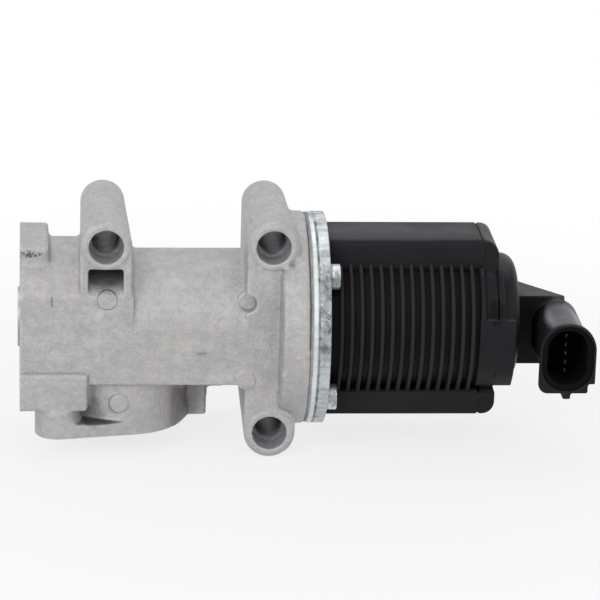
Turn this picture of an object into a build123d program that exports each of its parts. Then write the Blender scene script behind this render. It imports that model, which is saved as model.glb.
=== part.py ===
# An exhaust gas recirculation valve: a cast housing with a spring-closed poppet valve, two zinc-plated
# discs and a ribbed direct-current motor drive whose turning nut pushes the valve open.
# Millimetres. X runs along the valve stem from the end port towards the drive, Z is up, the front faces -Y.
# The origin is the centre of the end port, on the casting's end face.
from build123d import *

import os
from math import sqrt

# Casting: barrel and end port
casting_length = 94.6
seat_barrel_r = 26.8
seat_barrel_length = 37.2
stem_barrel_r = 23.0
front_edge_z = -16.3
end_lug_thickness = 9.5
end_lug_width = 29.0
end_lug_reach = 28.6
end_bolt_offset = 22.0
port_thread_r = 3.4
end_thread_depth = 14.0
chamber_r = 16.0
chamber_end_x = 52.0
spring_room_depth = 18.6
spring_room_r = 15.4

# Casting: outlet neck, pointing down, with a two-bolt flange
neck_x = 34.5
neck_r = 21.2
neck_bore_r = 16.4
outlet_depth = 34.5
outlet_flange_thickness = 5.1
outlet_bolt_x = 22.1
outlet_bolt_y = 18.1
outlet_ear_r = 7.4
outlet_thread_depth = 14.0
lug_length = 22.3
lug_front = 24.6
lug_top = 12.0
lug_bottom = 25.0
foot_end_x = 62.7
foot_front = 1.5
foot_depth = 10.0
foot_corner_r = 1.5

# Casting: mounting ears, bolted along Y, and the marks that the ejector pins leave
ear_x = 27.9
right_ear_inset = 12.0
ear_height = 31.4
low_ear_height = 33.0
ear_back = 30.0
ear_front = 22.8
ear_back_r = 7.4
ear_taper = 1.2
ear_foot_height = 13.0
ear_ring_r = 7.5
ear_ring_height = 0.6
ear_hole_r = 4.5
ear_mouth_r = 5.7
ear_mouth_depth = 9.0
pocket_width = 11.4
pocket_top = 23.6
pocket_depth = 29.0
cast_pad_r = 3.1
neck_pad_height = 0.7
pad_sink = 0.4
pad_rise = 0.15
left_pad_z = 12.2
right_pad_inset = 20.2
right_pad_z = 11.9
low_pad_z = -14.7
neck_pad_x = 32.6
neck_pad_z = -23.2

# Casting: drive flange
drive_flange_r = 35.6
drive_flange_thickness = 5.2
drive_flange_corner_r = 1.0
screw_boss_depth = 9.1
screw_boss_height = 50.0
screw_boss_corner_r = 3.0
screw_boss_inner_y = 13.0
screw_inset = 6.0
screw_count = 4

# Valve, seat, guide and spring
valve_travel = 6.0
head_r = 10.0
head_proud = 0.7
head_rim = 1.7
head_cone_depth = 2.4
head_neck_depth = 4.6
stem_r = 3.5
stem_reach = 0.6
seat_ring_r = 14.0
seat_ring_depth = 7.0
throat_r = 8.4
seat_mouth_gap = 0.35
seat_gap = 0.06
guide_r = 6.5
guide_nose = 8.0
seal_r = 8.0
seal_depth = 4.0
deflector_r = 13.0
deflector_thickness = 1.2
deflector_hub_length = 4.0
deflector_hub_wall = 1.5
spring_r = 10.3
spring_wire_r = 0.75
spring_turns = 4.0
retainer_r = 12.6
retainer_thickness = 1.6
retainer_inset = 1.5
retainer_hub_r = 7.2
retainer_stop_gap = 0.8
collet_length = 4.0
collet_wide_r = 5.4
collet_narrow_r = 4.5
collet_split = 0.6
groove_width = 1.2
groove_depth = 0.6

# Discs between casting and motor
gasket_thickness = 0.8
gasket_inset = 0.4
adapter_thickness = 1.7
adapter_bore_r = 15.4
plate_inset = 0.1
plate_edge = 0.3
motor_flange_thickness = 4.1
tab_half_angle = 9.2
tab_depth = 2.9
tab_gap = 0.2
screw_r = 2.5
screw_length = 15.0
screw_gap = 0.25
screw_head_r = 4.25
screw_head_height = 3.5
screw_socket_r = 2.3
screw_socket_depth = 1.8
screw_blind_gap = 0.8

# Motor housing
housing_length = 51.4
housing_wall = 1.8
barrel_screw_gap = 1.85
box_width = 24.0
box_rise = 6.9
box_corner_r = 3.0
foot_width = 32.0
foot_rise = 2.5
foot_height = 8.2
foot_edge_r = 1.2
rib_height = 1.8
rib_thickness = 1.3
rib_pitch = 3.35
rib_start = 3.8
rib_foot_height = 0.8
rib_count = 14
housing_seal_inset = 0.5
housing_seal_thickness = 0.8
housing_screw_inset = 3.2
housing_screw_r = 2.0
housing_screw_head_r = 3.8
housing_screw_head_depth = 1.8
housing_screw_length = 13.0

# Rear cap
cap_seal_thickness = 0.6
cap_seal_inset = 0.3
cap_length = 12.4
cap_box_length = 5.3
cap_top_corner_r = 5.2
cap_bottom_corner_r = 4.5
cap_start_inset = 1.0
cap_end_inset = 2.2
cap_rim_r = 4.8
cap_end_wall = 2.4
cap_wall = 1.7
spigot_depth = 1.8
clip_height = 1.7
clip_length = 12.2
clip_overlap = 1.2
clip_start_angle = 74.0
clip_end_angle = 138.0
fin_start_angle = 31.0
fin_thickness = 1.9
fin_inset = 0.3
fin_spacing = 6.0
clip_gap = 0.1

# Connector shell and the arm that carries it
socket_reach = 14.7
socket_half_width = 9.4
socket_top = 7.6
socket_bottom = -16.6
socket_corner_r = 3.0
socket_rim_length = 2.6
socket_rim_wall = 1.0
socket_rim_depth = 1.6
socket_rim_bore_corner_r = 8.0
tube_inset = 1.7
tube_corner_r = 7.0
tube_wall = 1.1
socket_front = 30.5
socket_back = 2.2
socket_floor = 9.0
arm_front = 0.8
arm_back = 20.0
arm_tip_length = 2.8
arm_root = 4.0
notch_width = 2.3
notch_height = 3.2
key_width = 2.7
key_height = 2.0
key_length = 6.0
terminal_count = 5
terminal_pitch = 3.0
terminal_thickness = 0.64
terminal_width = 1.2
terminal_reach = 15.0
terminal_mid_z = -4.5
terminal_gap = 0.05
lead_strip_y = 1.2
lead_slot_gap = 0.3

# Motor: can, magnets and rotor
can_wall = 1.6
can_gap = 0.2
magnet_wall = 4.4
magnet_end_gap = 2.0
magnet_inset = 9.0
magnet_span = 150.0
core_gap = 0.5
core_inset = 10.8
winding_inset = 2.5
winding_length = 3.4
winding_end_gap = 0.8
shaft_r = 6.0
shaft_end_r = 5.0
shaft_tip_r = 3.5
spindle_r = 4.2
spindle_room = 1.5
spindle_bore_end_gap = 3.2
spindle_flat = 3.2
spindle_flat_length = 14.0
running_gap = 0.05
end_play = 0.4
guide_insert_r = 8.2

# Motor: bearings, brushes and position sensor
hub_wall = 3.5
front_bearing_r = 10.8
front_bearing_width = 5.8
rear_bearing_r = 9.5
rear_bearing_width = 3.6
rear_hub_wall = 2.0
rear_plate_thickness = 1.6
rear_plate_bore_r = 7.5
race_wall = 1.2
ball_count = 9
commutator_r = 8.2
commutator_length = 5.6
commutator_inset = 0.8
brush_holder_length = 9.0
brush_bore_r = 9.2
brush_length = 7.6
brush_width = 4.0
brush_thickness = 4.6
brush_slot_gap = 0.1
brush_slot_floor = 2.0
brush_spring_r = 1.4
brush_spring_wire_r = 0.25
brush_spring_turns = 5.0
magnet_disc_r = 7.0
magnet_disc_thickness = 2.0
magnet_disc_gap = 0.8
board_edge_gap = 2.6
board_thickness = 1.6
board_gap = 1.4
post_r = 1.8
post_inset = 3.0
post_count = 3
lead_r = 0.8
lead_y = 14.0
lead_z = 8.0
lead_hole_r = 1.6

# Places along X that follow from the sizes above
right_ear_x = casting_length - right_ear_inset
right_pad_x = casting_length - right_pad_inset
spring_floor_x = casting_length - spring_room_depth
gasket_x = casting_length
adapter_x = gasket_x + gasket_thickness
flange_x = adapter_x + adapter_thickness
housing_x = flange_x + motor_flange_thickness
split_x = housing_x + housing_length
cap_x = split_x + cap_seal_thickness
cap_end_x = cap_x + cap_length
cap_floor_x = cap_end_x - cap_end_wall
socket_x = cap_end_x + socket_reach
arm_tip_x = socket_x + arm_tip_length
stem_end_x = adapter_x + stem_reach
spindle_x = stem_end_x + running_gap
retainer_x = casting_length - retainer_inset - retainer_thickness
retainer_end_x = retainer_x + retainer_thickness
collet_x = retainer_end_x - collet_length
guide_x = chamber_end_x - guide_nose
seal_x = spring_floor_x - seal_depth
shaft_x = housing_x + end_play
rear_plate_end_x = split_x - spigot_depth
rear_plate_x = rear_plate_end_x - rear_plate_thickness
spindle_bore_end_x = rear_plate_x - spindle_bore_end_gap
spindle_end_x = spindle_bore_end_x - spindle_room
brush_holder_x = rear_plate_x - brush_holder_length
magnet_x = housing_x + magnet_inset
magnet_length = brush_holder_x - magnet_end_gap - magnet_x
core_x = housing_x + core_inset
core_length = brush_holder_x - winding_end_gap - winding_length - core_x
commutator_x = brush_holder_x + commutator_inset
rear_bearing_x = rear_plate_end_x
rear_bearing_end_x = rear_bearing_x + rear_bearing_width
magnet_disc_x = rear_bearing_end_x + magnet_disc_gap
board_x = magnet_disc_x + magnet_disc_thickness + board_gap
board_end_x = board_x + board_thickness

# Other sizes that follow
gasket_r = drive_flange_r - gasket_inset
plate_r = drive_flange_r - plate_inset
screw_circle_r = drive_flange_r - screw_inset
housing_core_r = screw_circle_r - screw_head_r - barrel_screw_gap
housing_bore_r = housing_core_r - housing_wall
housing_seal_r = housing_core_r - housing_seal_inset
rib_r = housing_core_r + rib_height
box_top = housing_core_r + box_rise
foot_top = foot_rise - housing_core_r
foot_bottom = foot_top - foot_height
cap_start_r = housing_core_r - cap_start_inset
cap_end_r = housing_core_r - cap_end_inset
cap_bore_r = cap_end_r - cap_wall
clip_r = housing_core_r + clip_height
board_r = cap_bore_r - board_edge_gap
post_circle_r = board_r - post_inset
housing_screws_z = [box_top - housing_screw_inset, foot_bottom + housing_screw_inset]
ears = [(ear_x, ear_height, 1), (right_ear_x, ear_height, 1), (right_ear_x, low_ear_height, -1)]
web_feet_z = [ear_foot_height, 0, 0]
ear_length = ear_back + ear_front
can_r = housing_bore_r - can_gap
magnet_r = can_r - can_wall
core_r = magnet_r - magnet_wall - core_gap
winding_r = core_r - winding_inset
socket_arc_z = socket_top - socket_half_width


def ring_sector(inner_r, outer_r, start_angle, end_angle):
    # A face between two arcs about the origin, angles in degrees from the sketch's first axis
    span = end_angle - start_angle
    with BuildSketch() as sector:
        with BuildLine():
            outer = CenterArc((0, 0), outer_r, start_angle, span)
            inner = CenterArc((0, 0), inner_r, start_angle, span)
            Line(outer @ 0, inner @ 0)
            Line(outer @ 1, inner @ 1)
        make_face()
    return sector.sketch


def housing_outline(inset):
    # Barrel, top box and wide foot, seen along the stem
    with BuildSketch() as outline:
        Circle(housing_core_r - inset)
        with Locations((0, box_top / 2)):
            RectangleRounded(box_width - 2 * inset, box_top - 2 * inset, box_corner_r)
        with Locations((0, (foot_top + foot_bottom) / 2)):
            RectangleRounded(foot_width - 2 * inset, foot_top - foot_bottom - 2 * inset, foot_edge_r)
    return outline.sketch


def socket_outline(inset, corner_r):
    # The connector's D: a half round top on a box with rounded lower corners
    arc_r = socket_half_width - inset
    floor_z = socket_bottom + inset
    with BuildSketch() as outline:
        with Locations((socket_x, (socket_arc_z + floor_z) / 2)):
            Rectangle(2 * arc_r, socket_arc_z - floor_z)
        fillet(outline.vertices().group_by(Axis.Y)[0], corner_r)
        with Locations((socket_x, socket_arc_z)):
            Circle(arc_r)
    return outline.sketch


def barrel_outline(barrel_r):
    # A round section with its front cut flat, flush with the fronts of the ears
    with BuildSketch() as outline:
        Circle(barrel_r)
        with Locations((-ear_front, 0)):
            Rectangle(barrel_r, 2 * barrel_r, align=(Align.MAX, Align.CENTER), mode=Mode.SUBTRACT)
    return outline.sketch


def screw_bosses():
    # The thick stretches of the drive flange that hold the screws, one in front and one at the back
    with BuildPart() as bosses:
        with BuildSketch(Plane.YZ.offset(casting_length - screw_boss_depth)):
            Circle(drive_flange_r - drive_flange_corner_r)
            Rectangle(2 * drive_flange_r, screw_boss_height, mode=Mode.INTERSECT)
            Rectangle(2 * screw_boss_inner_y, screw_boss_height, mode=Mode.SUBTRACT)
        extrude(amount=screw_boss_depth - drive_flange_corner_r)
        fillet(bosses.edges().filter_by(Axis.Y).group_by(Axis.X)[0], screw_boss_corner_r)
    return bosses.part


def connector_arm():
    # Web from the cap's end to the connector, cut to the cap's round outline
    with BuildPart() as arm:
        with BuildSketch(Plane.XY.offset(socket_bottom)):
            Polygon(
                (cap_end_x - arm_root, -arm_front),
                (cap_end_x - arm_root, arm_back),
                (cap_end_x, arm_back),
                (arm_tip_x, 0),
                (arm_tip_x, -arm_front),
                align=None,
            )
        extrude(amount=socket_top - socket_bottom)
        with BuildSketch(Plane.YZ.offset(cap_end_x - arm_root)):
            Circle(cap_end_r)
        extrude(amount=arm_tip_x - cap_end_x + arm_root, mode=Mode.INTERSECT)
    return arm.part


def bearing_ball_r(outer_r, inner_r):
    return (outer_r - inner_r - 2 * race_wall) / 2 - running_gap


# Valve housing, one casting
pads = [
    (ear_x, left_pad_z, ear_front - pad_sink),
    (right_pad_x, right_pad_z, sqrt(stem_barrel_r**2 - right_pad_z**2)),
    (right_pad_x, low_pad_z, ear_front + pad_rise),
    (neck_pad_x, neck_pad_z, neck_pad_height + sqrt(neck_r**2 - (neck_x - neck_pad_x) ** 2)),
]
with BuildPart() as valve_housing:
    # Ears: drafted columns on webs, with a cored pocket under the left one
    for (x, height, side), foot_z in zip(ears, web_feet_z):
        with BuildSketch(Plane.XZ.offset(-ear_back)):
            with Locations((x, side * height)):
                Circle(ear_back_r)
            with Locations((x, side * (height + foot_z) / 2)):
                Rectangle(2 * ear_back_r, height - foot_z)
        extrude(amount=ear_length, taper=-ear_taper)
        with BuildSketch(Plane.XZ.offset(ear_front)):
            with Locations((x, side * height)):
                Circle(ear_ring_r)
        extrude(amount=ear_ring_height)
    with BuildSketch(Plane.XZ.offset(ear_front)):
        with Locations((ear_x, pocket_top / 2)):
            Rectangle(pocket_width, pocket_top)
    extrude(amount=-pocket_depth, mode=Mode.SUBTRACT)
    # Barrel, wide round the seat, whose flat front ends below in a sharp edge
    with BuildSketch(Plane.YZ):
        add(barrel_outline(seat_barrel_r))
        with Locations((0, front_edge_z)):
            Rectangle(seat_barrel_r, seat_barrel_r, align=(Align.MAX, Align.MAX), mode=Mode.SUBTRACT)
    extrude(amount=seat_barrel_length)
    with BuildSketch(Plane.YZ):
        add(barrel_outline(stem_barrel_r))
        Rectangle(ear_front, -front_edge_z, align=(Align.MAX, Align.MAX))
    extrude(amount=casting_length)
    with BuildSketch(Plane.YZ):
        Rectangle(end_lug_width, 2 * end_lug_reach)
    extrude(amount=end_lug_thickness)
    # Drive flange with a rounded outer corner, thick where the screws go
    with BuildSketch(Plane.XZ) as flange_section:
        with Locations((casting_length - drive_flange_thickness / 2, drive_flange_r / 2)):
            Rectangle(drive_flange_thickness, drive_flange_r)
        fillet(flange_section.vertices().group_by(Axis.Y)[-1], drive_flange_corner_r)
    revolve(axis=Axis.X)
    add(screw_bosses())
    # Outlet neck, its flange and the lugs above the flange's threads
    with BuildSketch(Plane.XY.offset(-outlet_depth)):
        with Locations((neck_x, 0)):
            Circle(neck_r)
    extrude(amount=outlet_depth)
    with BuildSketch(Plane.XY.offset(-outlet_depth)):
        with Locations((neck_x, 0)):
            Circle(neck_r)
        with Locations((neck_x - outlet_bolt_x, -outlet_bolt_y), (neck_x + outlet_bolt_x, outlet_bolt_y)):
            Circle(outlet_ear_r)
        make_hull()
    extrude(amount=outlet_flange_thickness)
    for side in (-1, 1):
        with BuildSketch(Plane.XY.offset(-outlet_depth)):
            with Locations((neck_x + side * outlet_bolt_x, side * outlet_bolt_y)):
                Circle(outlet_ear_r)
        extrude(amount=outlet_depth - lug_bottom)
        with BuildSketch(Plane.XY.offset(-lug_bottom)):
            with Locations((neck_x + side * (neck_x - lug_length / 2), side * lug_front / 2)):
                Rectangle(lug_length, lug_front)
        extrude(amount=lug_bottom - lug_top)
    with BuildSketch(Plane.XY.offset(-outlet_depth)):
        with Locations(((neck_x + foot_end_x) / 2, foot_depth / 2 - foot_front)):
            RectangleRounded(foot_end_x - neck_x, foot_depth, foot_corner_r)
    extrude(amount=outlet_depth)
    # Marks of the ejector pins: flat discs that cut into the rounded faces and stand out of them
    for x, z, front_y in pads:
        with BuildSketch(Plane.XZ.offset(front_y)):
            with Locations((x, z)):
                Circle(cast_pad_r)
        extrude(amount=-front_y / 2)
        with BuildSketch(Plane.XZ.offset(front_y)):
            with Locations((x, z)):
                Circle(cast_pad_r)
        extrude(amount=cast_pad_r, mode=Mode.SUBTRACT)
    # Bores along the stem
    for start, end, bore_r in (
        (0, seat_ring_depth, seat_ring_r),
        (seat_ring_depth, chamber_end_x, chamber_r),
        (chamber_end_x, spring_floor_x, guide_r),
        (seal_x, spring_floor_x, seal_r),
        (spring_floor_x, casting_length, spring_room_r),
    ):
        with BuildSketch(Plane.YZ.offset(start)):
            Circle(bore_r)
        extrude(amount=end - start, mode=Mode.SUBTRACT)
    with BuildSketch(Plane.XY.offset(-outlet_depth)):
        with Locations((neck_x, 0)):
            Circle(neck_bore_r)
    extrude(amount=outlet_depth, mode=Mode.SUBTRACT)
    # Bolt holes of the ears, wider at the mouth, and the blind threads
    with BuildSketch(Plane.XZ.offset(-ear_back)):
        for x, height, side in ears:
            with Locations((x, side * height)):
                Circle(ear_hole_r)
    extrude(amount=ear_length + ear_ring_height, mode=Mode.SUBTRACT)
    with BuildSketch(Plane.XZ.offset(ear_front + ear_ring_height)):
        for x, height, side in ears:
            with Locations((x, side * height)):
                Circle(ear_mouth_r)
    extrude(amount=-ear_mouth_depth, mode=Mode.SUBTRACT)
    with BuildSketch(Plane.YZ):
        with Locations((0, end_bolt_offset), (0, -end_bolt_offset)):
            Circle(port_thread_r)
    extrude(amount=end_thread_depth, mode=Mode.SUBTRACT)
    with BuildSketch(Plane.XY.offset(-outlet_depth)):
        with Locations((neck_x - outlet_bolt_x, -outlet_bolt_y), (neck_x + outlet_bolt_x, outlet_bolt_y)):
            Circle(port_thread_r)
    extrude(amount=outlet_thread_depth, mode=Mode.SUBTRACT)
    with BuildSketch(Plane.YZ.offset(casting_length)):
        with PolarLocations(screw_circle_r, screw_count, start_angle=45):
            Circle(screw_r + running_gap)
    extrude(amount=-(screw_length - (housing_x - casting_length) + screw_blind_gap), mode=Mode.SUBTRACT)

# Valve seat, pressed into the end port: its cone faces the head's cone
head_cone_x = head_rim - head_proud
seat_shift = seat_gap * sqrt(2)
with BuildPart() as valve_seat_ring:
    with BuildSketch(Plane.XZ):
        Polygon(
            (0, seat_ring_r),
            (seat_ring_depth, seat_ring_r),
            (seat_ring_depth, throat_r),
            (head_cone_x + head_r - throat_r + seat_shift, throat_r),
            (head_cone_x - seat_mouth_gap + seat_shift, head_r + seat_mouth_gap),
            (0, head_r + seat_mouth_gap),
            align=None,
        )
    revolve(axis=Axis.X)

# Poppet valve: head, 45 degree sealing cone, stem with a groove for the collets
groove_x = collet_x + (collet_length - groove_width) / 2
with BuildPart() as valve_stem:
    with BuildSketch(Plane.XZ):
        Polygon(
            (-head_proud, 0),
            (-head_proud, head_r),
            (head_cone_x, head_r),
            (head_cone_x + head_cone_depth, head_r - head_cone_depth),
            (head_cone_x + head_cone_depth + head_neck_depth, stem_r),
            (groove_x, stem_r),
            (groove_x, stem_r - groove_depth),
            (groove_x + groove_width, stem_r - groove_depth),
            (groove_x + groove_width, stem_r),
            (stem_end_x, stem_r),
            (stem_end_x, 0),
            align=None,
        )
    revolve(axis=Axis.X)

with BuildPart() as stem_guide_bush:
    with BuildSketch(Plane.YZ.offset(guide_x)):
        Circle(guide_r)
        Circle(stem_r + running_gap, mode=Mode.SUBTRACT)
    extrude(amount=seal_x - guide_x)

with BuildPart() as stem_seal:
    with BuildSketch(Plane.YZ.offset(seal_x)):
        Circle(seal_r)
        Circle(stem_r + running_gap, mode=Mode.SUBTRACT)
    extrude(amount=seal_depth)

# Dished washer that keeps hot gas off the guide
with BuildPart() as gas_deflector:
    with BuildSketch(Plane.YZ.offset(guide_x)):
        Circle(deflector_r)
        Circle(guide_r, mode=Mode.SUBTRACT)
    extrude(amount=deflector_thickness)
    with BuildSketch(Plane.YZ.offset(guide_x)):
        Circle(guide_r + deflector_hub_wall)
        Circle(guide_r, mode=Mode.SUBTRACT)
    extrude(amount=deflector_hub_length)

with BuildPart() as return_spring:
    spring_height = retainer_x - spring_floor_x - 2 * spring_wire_r
    with BuildLine() as spring_coil:
        Helix(
            spring_height / spring_turns,
            spring_height,
            spring_r,
            center=(spring_floor_x + spring_wire_r, 0, 0),
            direction=(1, 0, 0),
        )
    with BuildSketch(Plane(origin=spring_coil.line @ 0, z_dir=spring_coil.line % 0)):
        Circle(spring_wire_r)
    sweep(path=spring_coil.line, is_frenet=True)

# Retainer: a disc on a long hub that is the opening stop, with a conical seat for the collets
hub_x = spring_floor_x + valve_travel + retainer_stop_gap
with BuildPart() as spring_retainer:
    with BuildSketch(Plane.XZ):
        Polygon(
            (hub_x, stem_r + running_gap),
            (hub_x, retainer_hub_r),
            (retainer_x, retainer_hub_r),
            (retainer_x, retainer_r),
            (retainer_end_x, retainer_r),
            (retainer_end_x, collet_wide_r),
            (collet_x, collet_narrow_r),
            (collet_x, stem_r + running_gap),
            align=None,
        )
    revolve(axis=Axis.X)

with BuildPart() as retainer_collets:
    with BuildSketch(Plane.XZ):
        Polygon(
            (collet_x, stem_r),
            (collet_x, collet_narrow_r),
            (retainer_end_x, collet_wide_r),
            (retainer_end_x, stem_r),
            (groove_x + groove_width, stem_r),
            (groove_x + groove_width, stem_r - groove_depth),
            (groove_x, stem_r - groove_depth),
            (groove_x, stem_r),
            align=None,
        )
    revolve(axis=Axis.X)
    with BuildSketch(Plane.YZ.offset(collet_x)):
        Rectangle(2 * collet_wide_r, collet_split)
    extrude(amount=collet_length, mode=Mode.SUBTRACT)

# Gasket and thin adapter plate
with BuildPart() as flange_gasket:
    with BuildSketch(Plane.YZ.offset(gasket_x)):
        Circle(gasket_r)
        Circle(adapter_bore_r, mode=Mode.SUBTRACT)
        with PolarLocations(screw_circle_r, screw_count, start_angle=45):
            Circle(screw_r + screw_gap, mode=Mode.SUBTRACT)
    extrude(amount=gasket_thickness)

notch_angle = tab_half_angle + tab_gap
notch = ring_sector(plate_r - tab_depth - tab_gap, plate_r + tab_depth, 90 - notch_angle, 90 + notch_angle)
with BuildPart() as adapter_plate:
    with BuildSketch(Plane.YZ.offset(adapter_x)):
        Circle(plate_r)
    extrude(amount=adapter_thickness)
    chamfer(adapter_plate.edges().filter_by(GeomType.CIRCLE), plate_edge)
    with BuildSketch(Plane.YZ.offset(adapter_x)):
        Circle(adapter_bore_r)
        with PolarLocations(screw_circle_r, screw_count, start_angle=45):
            Circle(screw_r + screw_gap)
        add(notch)
    extrude(amount=adapter_thickness, mode=Mode.SUBTRACT)

# Motor flange: thick plate with the front bearing's hub and a tab bent over the adapter plate
hub_r = front_bearing_r + hub_wall
tab = ring_sector(plate_r - tab_depth, plate_r, 90 - tab_half_angle, 90 + tab_half_angle)
with BuildPart() as motor_flange:
    with BuildSketch(Plane.YZ.offset(flange_x)):
        Circle(plate_r)
    extrude(amount=motor_flange_thickness)
    chamfer(motor_flange.edges().filter_by(GeomType.CIRCLE), plate_edge)
    with BuildSketch(Plane.YZ.offset(adapter_x)):
        add(tab)
    extrude(amount=adapter_thickness + plate_edge)
    with BuildSketch(Plane.YZ.offset(housing_x)):
        Circle(hub_r)
        Circle(front_bearing_r, mode=Mode.SUBTRACT)
    extrude(amount=front_bearing_width)
    with BuildSketch(Plane.YZ.offset(flange_x)):
        Circle(guide_insert_r)
        with PolarLocations(screw_circle_r, screw_count, start_angle=45):
            Circle(screw_r + screw_gap)
        with Locations([(0, z) for z in housing_screws_z]):
            Circle(housing_screw_r + running_gap)
    extrude(amount=motor_flange_thickness, mode=Mode.SUBTRACT)
    for z in housing_screws_z:
        with Locations(Plane.YZ.offset(flange_x)):
            with Locations((0, z)):
                Cone(
                    housing_screw_head_r + running_gap,
                    housing_screw_r + running_gap,
                    housing_screw_head_depth,
                    align=(Align.CENTER, Align.CENTER, Align.MIN),
                    mode=Mode.SUBTRACT,
                )

with BuildPart() as flange_screws:
    with BuildSketch(Plane.YZ.offset(housing_x)):
        with PolarLocations(screw_circle_r, screw_count, start_angle=45):
            Circle(screw_head_r)
    extrude(amount=screw_head_height)
    with BuildSketch(Plane.YZ.offset(housing_x)):
        with PolarLocations(screw_circle_r, screw_count, start_angle=45):
            Circle(screw_r)
    extrude(amount=-screw_length)
    with BuildSketch(Plane.YZ.offset(housing_x + screw_head_height)):
        with PolarLocations(screw_circle_r, screw_count, start_angle=45):
            RegularPolygon(screw_socket_r, 6)
    extrude(amount=-screw_socket_depth, mode=Mode.SUBTRACT)

# Countersunk screws from the motor flange into the housing's top box and foot
with BuildPart() as housing_screws:
    with Locations(Plane.YZ.offset(flange_x)):
        with Locations([(0, z) for z in housing_screws_z]):
            Cone(
                housing_screw_head_r,
                housing_screw_r,
                housing_screw_head_depth,
                align=(Align.CENTER, Align.CENTER, Align.MIN),
            )
            Cylinder(housing_screw_r, housing_screw_length, align=(Align.CENTER, Align.CENTER, Align.MIN))

# Motor housing: ribbed barrel between a top box and a foot, where the ribs end in gussets
with BuildPart() as motor_housing:
    with BuildSketch(Plane.YZ.offset(housing_x)):
        add(housing_outline(0))
        Circle(housing_bore_r, mode=Mode.SUBTRACT)
    extrude(amount=housing_length)
    for i in range(rib_count):
        with BuildSketch(Plane.YZ.offset(housing_x + rib_start + i * rib_pitch)):
            Circle(rib_r)
            with Locations((0, foot_top - rib_foot_height / 2)):
                Rectangle(foot_width, rib_foot_height)
            make_hull()
            Circle(housing_bore_r, mode=Mode.SUBTRACT)
        extrude(amount=rib_thickness)
    with BuildSketch(Plane.YZ.offset(housing_x)):
        Circle(housing_seal_r)
    extrude(amount=housing_seal_thickness, mode=Mode.SUBTRACT)
    with BuildSketch(Plane.YZ.offset(housing_x)):
        with Locations([(0, z) for z in housing_screws_z]):
            Circle(housing_screw_r + running_gap)
    extrude(amount=housing_screw_length - motor_flange_thickness + screw_blind_gap, mode=Mode.SUBTRACT)

with BuildPart() as housing_seal:
    with BuildSketch(Plane.YZ.offset(housing_x)):
        Circle(housing_seal_r)
        Circle(housing_bore_r, mode=Mode.SUBTRACT)
    extrude(amount=housing_seal_thickness)

with BuildPart() as cap_seal:
    with BuildSketch(Plane.YZ.offset(split_x)):
        add(housing_outline(cap_seal_inset))
        Circle(housing_bore_r, mode=Mode.SUBTRACT)
    extrude(amount=cap_seal_thickness)

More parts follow.
